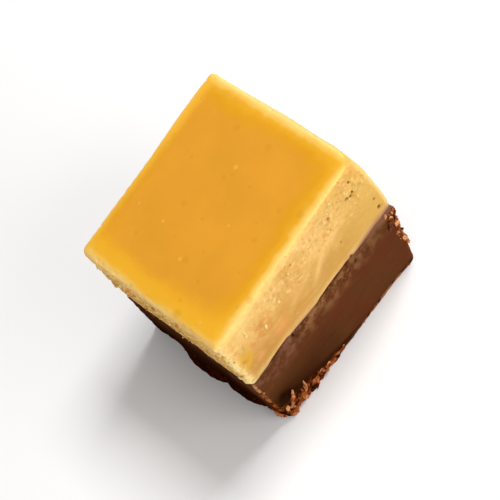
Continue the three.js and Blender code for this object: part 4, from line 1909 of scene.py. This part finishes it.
@dataclass(frozen=True)
class ChocolateFinish:
    """Chocolate fudge: deep and satin, with a lighter, redder burr that is tinted lump by lump, painted
    so where it is lit.
    """

    smeared: SmearedChocolate = SmearedChocolate()
    skin: Skin = Skin(
        grain_depth=0.03, glow=0.1, glow_reach=0.5, glow_spread=(1.0, 0.45, 0.2), shine=0.0
    )
    # Painted light on the burr: dark in shade, orange where light glows through thin flakes, pinkish
    # highlights.
    burr_tones: Tones = ((0.2, srgb(54, 16, 4)), (0.55, srgb(150, 68, 22)), (0.95, srgb(204, 130, 76)))
    burr_sway: Noise = Noise(0.9, 38, detail=3.0, reach=0.3)
    burr_from: Span = Span(0.04, 0.3)
    lump_tint: float = 0.7
    grain_tint: float = 0.6
    grain_tints: Noise = Noise(0.5, 34, detail=3.0)
    tint_drop: float = 0.2
    # How the burr's tint follows the painted light: dark in shade, orange and pale where lit.
    toasting: Span = Span(0.1, 1.0)
    # Painted shade in creases, pores and torn places, and the dark of the cracks.
    hollow: Coat = Coat("hollows", srgb(26, 8, 4), 1.0, "hollow")
    # How strong the painted shade is in crumbly creases, burr creases, torn places and pores.
    crumbly_crease: Span = Span(0.3, 0.9)
    crumbly_crease_depth: float = 0.6
    burr_crease: Span = Span(0.45, 0.95)
    burr_crease_depth: float = 0.8
    torn_depth: float = 0.75
    pore_depth: float = 0.8
    fine_grain: Noise = Noise(0.2, 35, detail=3.0)
    fine_grain_depth: Span = Span(0.5, 1.1)
    drags: Noise = Noise(0.5, 45, stretch=8.0)
    drag_depth: float = 0.5
    satin: Noise = Noise(1.2, 36, spread=Span(0.4, 0.58))
    burr_roughness: float = 0.12

    def burr_color(self, graph: ShaderGraph) -> Wire:
        """The colour of the burr: dark in painted shade, orange glow and pinkish highlights painted where
        it is lit.
        """
        tint = graph.attribute("lump") * self.lump_tint
        tint = tint + graph.noise(self.grain_tints) * self.grain_tint - self.tint_drop
        return graph.ramp(self.burr_tones, tint * self.toasting.at(graph.attribute("toasted")))

    def hollows(self, graph: ShaderGraph, burr: Wire) -> Wire:
        """How much painted shade its creases, pores and torn places get, with the dark of its cracks."""
        crease = graph.attribute("crease")
        crumbly_shade = self.crumbly_crease.rise(crease * graph.attribute("crumbly"))
        gap = self.burr_crease.rise(crease) * burr * self.burr_crease_depth
        gap = gap + graph.attribute("torn") * self.torn_depth
        pore = graph.attribute("pore") * self.pore_depth
        return (crumbly_shade * self.crumbly_crease_depth + gap + pore + graph.attribute("crack")).clamped()

    def material(self) -> Material:
        """Makes the material."""
        graph = ShaderGraph("chocolate_fudge")
        burr = self.burr_from.rise(graph.attribute("burr") + graph.sway(self.burr_sway))
        color = graph.color_mix(burr, self.smeared.color(graph), self.burr_color(graph))
        color = self.hollow.lay(graph, color, {"hollow": self.hollows(graph, burr)})
        grain = graph.noise(self.fine_grain) * self.fine_grain_depth.at(burr)
        grain = grain + graph.noise(self.drags) * self.drag_depth
        roughness = graph.noise(self.satin) + burr * self.burr_roughness
        return self.skin.dress(graph, color, roughness, grain)


@dataclass(frozen=True)
class CrumbFinish:
    """Loose crumbs and flakes, each with its own tint from a deep to a pale one."""

    name: str
    deep: Color
    dark: Color
    warm: Color
    pale: Color
    glow: float
    tone_places: tuple[float, ...] = (0.04, 0.22, 0.55, 0.95)
    tint_sway: Noise = Noise(0.4, 41, detail=3.0, reach=0.9)
    grain: Noise = Noise(0.14, 43)
    satin: Noise = Noise(0.5, 42, spread=Span(0.45, 0.65))

    def skin(self) -> Skin:
        """What light does on and in them."""
        return Skin(
            grain_depth=0.03, glow=self.glow, glow_reach=0.6, glow_spread=(1.0, 0.45, 0.15),
            shine=0.2, shine_color=self.pale,
        )

    def material(self) -> Material:
        """Makes the material."""
        graph = ShaderGraph(self.name)
        tones = tuple(zip(self.tone_places, (self.deep, self.dark, self.warm, self.pale)))
        color = graph.ramp(tones, graph.attribute("tint") + graph.sway(self.tint_sway))
        roughness = graph.noise(self.satin)
        return self.skin().dress(graph, color, roughness, graph.noise(self.grain))


@dataclass(frozen=True)
class FloorFinish:
    """A plain pale floor."""

    color: Color = (0.95, 0.945, 0.94, 1.0)
    roughness: float = 0.6
    shine: float = 0.2

    def material(self) -> Material:
        """Makes the material."""
        values = {"Base Color": self.color, "Roughness": self.roughness, "Specular IOR Level": self.shine}
        return ShaderGraph("floor").surface(values)


class CrumbTone(Enum):
    """The two kinds of crumbs."""

    PEANUT = CrumbFinish(
        name="peanut_crumbs",
        deep=srgb(206, 144, 68), dark=srgb(222, 164, 84),
        warm=srgb(240, 192, 112), pale=srgb(252, 218, 150),
        glow=0.35,
    )
    # Deep and dark chocolate tones, with orange glow and pinkish highlights painted on where the flakes
    # are lit.
    CHOCOLATE = CrumbFinish(
        name="chocolate_flakes",
        deep=srgb(40, 13, 4), dark=srgb(92, 36, 9),
        warm=srgb(160, 80, 28), pale=srgb(226, 160, 112),
        glow=0.3,
    )


# ---- The sub-assemblies ----


def take(name: str, mesh: Mesh, slot: str, *nodes: str) -> Object:
    """Puts a finished mesh on the cube.

    Args:
        name: The piece's name.
        mesh: Its mesh, in place.
        slot: The record's material slot of the piece; not used.
        nodes: The solids that it stands for.

    Returns:
        The piece.
    """
    piece = new_object(name, mesh)
    if nodes:
        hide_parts(*nodes)
    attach(piece, BODY)
    log.info("%s: %d triangles", name, sum(len(face.vertices) - 2 for face in mesh.polygons))
    return piece


@dataclass
class PeanutButterLayer:
    """The tan upper layer, with the crumbs that cling to its crumbly sides."""

    block: FudgeBlock
    random: SeededRandom
    crumb_size: FlakeSize = FlakeSize(1.0, 0.7, 0.5)
    crumbs_per_side: int = 14
    clear_of_join: float = 0.9
    row_height: float = 0.145
    column_width: float = 0.165
    relief: Relief = Relief(
        crumb_size=0.85, crumb_depth=0.34, grain_size=0.5, grain_depth=0.1,
        pore_spacing=1.3, pore_depth=0.2, ridge_depth=0.02, dimple_depth=0.05,
    )
    strewing: Strewing = Strewing(
        mask="crumby", seed=101, density=1.8, smallest=0.18, largest=0.6,
        raggedness=1.1, length=1.5, thickness=0.75,
    )

    def heights(self) -> Array:
        """The heights of the walls' rings."""
        lines = GridLines(self.block.radius, self.row_height)
        return lines.between(self.block.join, self.block.height, False, True)

    def crumbs(self) -> FlakeBed:
        """The larger crumbs on the two crumbly sides."""
        bed = FlakeBed(self.block, self.random)
        lowest = self.block.join + self.clear_of_join
        for side in (Side.LEFT, Side.BACK):
            for n in range(self.crumbs_per_side):
                along = 2 * (n + self.random()) / self.crumbs_per_side - 1
                x, y = bed.side_place(side, along)
                low = lowest + self.crumb_size.length / 2
                z = self.random.between(low, self.block.height - self.block.radius)
                size = self.crumb_size.scaled(bed.share())
                turn = self.random.turn()
                bed.add(size, bed.point(x, y, z), turn, lowest)
        return bed

    def build(self) -> None:
        """Makes and dresses the layer and its crumbs."""
        finish = PeanutFinish(CutPeanut(self.block.height)).material()
        lines = GridLines(self.block.radius, self.column_width)
        plain = LayerMesh(self.block, self.heights(), lines, rolling_lid=True).build("peanut_plain")
        layer = self.relief.apply(plain, finish)
        take("peanut_butter_fudge", layer, PEANUT_SLOT, "peanut_butter_layer")
        bed = self.crumbs().mesh("peanut_bed")
        crumbs = self.strewing.apply(layer, bed, CrumbTone.PEANUT.value.material())
        take("peanut_crumbs", crumbs, PEANUT_SLOT)


@dataclass
class ChocolateLayer:
    """The dark lower layer, with its burr of flakes, its torn edge and its one long curl."""

    block: FudgeBlock
    random: SeededRandom
    foot_flake: FlakeSize = FlakeSize(1.35, 0.85, 0.6)
    foot_spacing: float = 1.9
    foot_sunk: float = 0.25
    foot_tilt: float = 0.9
    foot_lowest: float = 0.1
    foot_highest: float = 0.75
    edge_flake: FlakeSize = FlakeSize(1.25, 0.8, 0.5)
    edge_count: int = 13
    edge_lowest: float = 3.5
    edge_highest: float = 10.6
    edge_band: float = 2.2
    left_edge_band: float = 1.6
    left_edge_share: float = 0.55
    torn_below: float = 1.0
    torn_above: float = 4.0
    torn_right: Span = Span(2.2, 1.4)
    torn_share: float = 1.5
    burr_share: float = 2.2
    flaky_falloff: int = 6
    # How much the flakes' tint follows the painted light on them.
    toasting: float = 0.92
    curl_from_left: float = 2.5
    curl_middle: float = 3.1
    curl_lean: float = 0.35
    curl_size: FlakeSize = FlakeSize(4.4, 1.3, 0.7)
    curl_bend: float = 0.35
    row_height: float = 0.145
    column_width: float = 0.165
    relief: Relief = Relief(
        crumb_size=0.8, crumb_depth=0.22, grain_size=0.6, grain_depth=0.05,
        pore_spacing=2.2, pore_depth=0.12, burr_depth=0.75,
    )
    strewing: Strewing = Strewing(
        mask="strewn", seed=201, density=3.2, smallest=0.2, largest=1.1,
        raggedness=1.2, length=2.2, thickness=0.5, toasting=toasting,
    )

    def heights(self) -> Array:
        """The heights of the walls' rings."""
        return GridLines(0.0, self.row_height).between(0.0, self.block.join, False, False)

    def foot_flakes(self, bed: FlakeBed) -> None:
        """Adds the flakes of the burr, round all four sides, smaller where the burr is thin."""
        burr = self.block.burr
        for side in Side:
            fx, fy = side.value.facing
            count = round((self.block.depth if fx else self.block.length) / self.foot_spacing)
            for n in range(count):
                x, y = bed.side_place(side, 2 * (n + self.random()) / count - 1)
                thick = float(burr.share(x, self.block.half_length))
                flaky = float(burr.flaky(y + self.block.half_depth))
                share = max(burr.thin, thick * flaky) * bed.share()
                up = self.random.between(self.foot_lowest, self.foot_highest)
                point = bed.point(x, y, burr.height * thick * up)
                sunk = self.foot_sunk * share * self.random()
                tilts = [self.foot_tilt * self.random.between(-0.5, 0.5) for _ in range(3)]
                turn = Euler((tilts[0], tilts[1], math.atan2(fx, -fy) + tilts[2]), "XYZ")
                place = point - Vector((fx, fy, 0)) * sunk
                bed.add(self.foot_flake.scaled(share), place, turn.to_matrix(), 0)

    def edge_flakes(self, bed: FlakeBed) -> None:
        """Adds the flakes that the knife tore out down the front right edge."""
        for n in range(self.edge_count):
            share = (n + self.random()) / self.edge_count
            z = mix(self.edge_lowest, self.edge_highest, share)
            y = -self.block.half_depth + self.edge_band * self.random()
            point = bed.point(self.block.half_length, y, z)
            size = self.edge_flake.scaled(bed.share())
            bed.add(size, point, self.random.turn(), 0)

    def curl(self) -> Curl:
        """The curl, where its solid stands."""
        x = -self.block.half_length + self.curl_from_left
        middle = self.block.surface(x, -self.block.half_depth, self.curl_middle).places[0]
        turn = Euler((self.curl_lean, self.curl_lean - math.pi / 2, 0), "ZYX").to_matrix()
        along = turn @ Vector((1, 0, 0))
        return Curl(Vector(middle), along, self.curl_size, self.curl_bend)

    def strewn_share(self, mesh: Mesh) -> Array:
        """How thickly small flakes lie at each point: on the burr and down the torn edge."""
        count = len(mesh.vertices)
        places = np.empty(count * 3, np.float32)
        mesh.vertices.foreach_get("co", places)
        x, y, z = places.reshape(-1, 3).T / MM
        burr, flaky = np.empty((2, count), np.float32)
        mesh.attributes["burr"].data.foreach_get("value", burr)
        mesh.attributes["flaky"].data.foreach_get("value", flaky)
        low, high = self.edge_lowest - self.torn_below, self.edge_lowest + self.torn_above
        over = smooth_step(low, high, z)
        under = smooth_step(self.block.join, self.edge_highest, z)
        near = np.exp(-(((y + self.block.half_depth) / self.edge_band) ** 2))
        right = self.torn_right.back_from(self.block.half_length).rise(x)
        from_edge = np.hypot(x + self.block.half_length, y + self.block.half_depth)
        left_edge = self.left_edge_share * smooth_step(self.left_edge_band, 0, from_edge)
        thick = self.block.burr.share(x, self.block.half_length)
        torn = over * under * (self.torn_share * near * right + left_edge)
        return np.clip(burr * self.burr_share, 0, 1) * thick * flaky**self.flaky_falloff + torn

    def build(self) -> None:
        """Makes and dresses the layer, its flakes and its curl."""
        finish = ChocolateFinish().material()
        lines = GridLines(self.block.radius, self.column_width)
        plain = LayerMesh(self.block, self.heights(), lines, rolling_lid=False).build("chocolate_plain")
        layer = self.relief.apply(plain, finish)
        take("chocolate_fudge", layer, CHOCOLATE_SLOT, "chocolate_layer")
        bed = FlakeBed(self.block, self.random, self.toasting)
        self.foot_flakes(bed)
        self.edge_flakes(bed)
        flake_finish = CrumbTone.CHOCOLATE.value.material()
        strewn = layer.copy()
        store(strewn, "strewn", self.strewn_share(strewn))
        flakes = self.strewing.apply(strewn, bed.mesh("flake_bed"), flake_finish)
        take("chocolate_flakes", flakes, CHOCOLATE_SLOT)
        curl = self.curl()
        # The solids draw one number for each corner of the curl, which the crumbs' draws follow.
        for _ in range(len(icosahedron()[0])):
            self.random()
        take("chocolate_curl", curl.build(flake_finish), CHOCOLATE_SLOT)


# ---- The studio ----


@dataclass(frozen=True)
class Softbox:
    """A square soft light that faces the cube.

    Attributes:
        name: Its name.
        toward: The way from the cube to it.
        distance: How far away it is, in metres.
        size: Its side, in metres.
        power: Its power, in watts.
        color: The colour of its light.
    """

    name: str
    toward: Triple
    distance: float
    size: float
    power: float
    color: Triple = (1.0, 1.0, 1.0)

    def build(self, target: Vector) -> None:
        """Hangs the light up."""
        lamp = bpy.data.lights.new(self.name, "AREA")
        lamp.shape = "SQUARE"
        lamp.size = self.size
        lamp.energy = self.power
        lamp.color = self.color
        hung = bpy.data.objects.new(self.name, lamp)
        out = Vector(self.toward).normalized()
        hung.location = target + out * self.distance
        hung.rotation_euler = out.to_track_quat("Z", "Y").to_euler()
        bpy.context.scene.collection.objects.link(hung)


@dataclass(frozen=True)
class CameraRig:
    """The camera, by its way round the cube, in degrees and metres."""

    azimuth: float = -11.594
    elevation: float = 52.877
    roll: float = 42.578
    distance: float = 0.26877
    lens: float = 145.4

    def build(self, target: Vector) -> None:
        """Sets the camera up, looking at a point."""
        turn, rise, roll = (math.radians(a) for a in (self.azimuth, self.elevation, self.roll))
        flat = Vector((math.sin(turn), -math.cos(turn), 0))
        back = flat * math.cos(rise) + Vector((0, 0, math.sin(rise)))
        level = Vector((math.cos(turn), math.sin(turn), 0))
        down = level.cross(back)
        right = level * math.cos(roll) + down * math.sin(roll)
        up = level * math.sin(roll) - down * math.cos(roll)
        data = bpy.data.cameras.new("camera")
        data.lens = self.lens
        data.clip_start = 0.01
        camera = bpy.data.objects.new("camera", data)
        place = Matrix((right, up, back)).transposed().to_4x4()
        place.translation = target + back * self.distance
        camera.matrix_world = place
        bpy.context.scene.collection.objects.link(camera)
        bpy.context.scene.camera = camera


@dataclass(frozen=True)
class Studio:
    """A pale floor, soft lights and the camera."""

    floor_size: float = 3.0
    floor_drop: float = 0.00002
    sky: float = 0.37
    softboxes: tuple[Softbox, ...] = (
        Softbox("key", (0.55, 0.0, 0.83), distance=0.42, size=0.16, power=1.3),
        Softbox("front", (0.3, -0.85, 0.42), distance=0.45, size=0.3, power=0.9),
        Softbox("fill", (-0.8, -0.35, 0.3), distance=0.45, size=0.3, power=0.25),
    )
    camera: CameraRig = CameraRig()

    def floor(self) -> None:
        """Lays the floor."""
        half = self.floor_size / 2
        square = ((-half, -half), (half, -half), (half, half), (-half, half))
        corners = [(x, y, -self.floor_drop) for x, y in square]
        mesh = bpy.data.meshes.new("floor")
        mesh.from_pydata(corners, [], [(0, 1, 2, 3)])
        mesh.materials.append(FloorFinish().material())
        new_object("floor", mesh)

    def build(self, target: Vector) -> None:
        """Sets the studio up round a point."""
        self.floor()
        world = bpy.data.worlds.new("sky")
        world.use_nodes = True
        background = world.node_tree.nodes["Background"].inputs
        background["Color"].default_value = WHITE
        background["Strength"].default_value = self.sky
        bpy.context.scene.world = world
        bpy.context.scene.view_settings.view_transform = "Standard"
        for softbox in self.softboxes:
            softbox.build(target)
        self.camera.build(target)


def main() -> None:
    """Builds the cube and its studio."""
    logging.basicConfig(level=logging.INFO, format="%(name)s: %(message)s")
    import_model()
    block = FudgeBlock()
    random = SeededRandom(FLAKE_SEED)
    ChocolateLayer(block, random).build()
    PeanutButterLayer(block, random).build()
    Studio().build(Vector((0, 0, block.height / 2)) * MM)


if __name__ == "__main__":
    main()
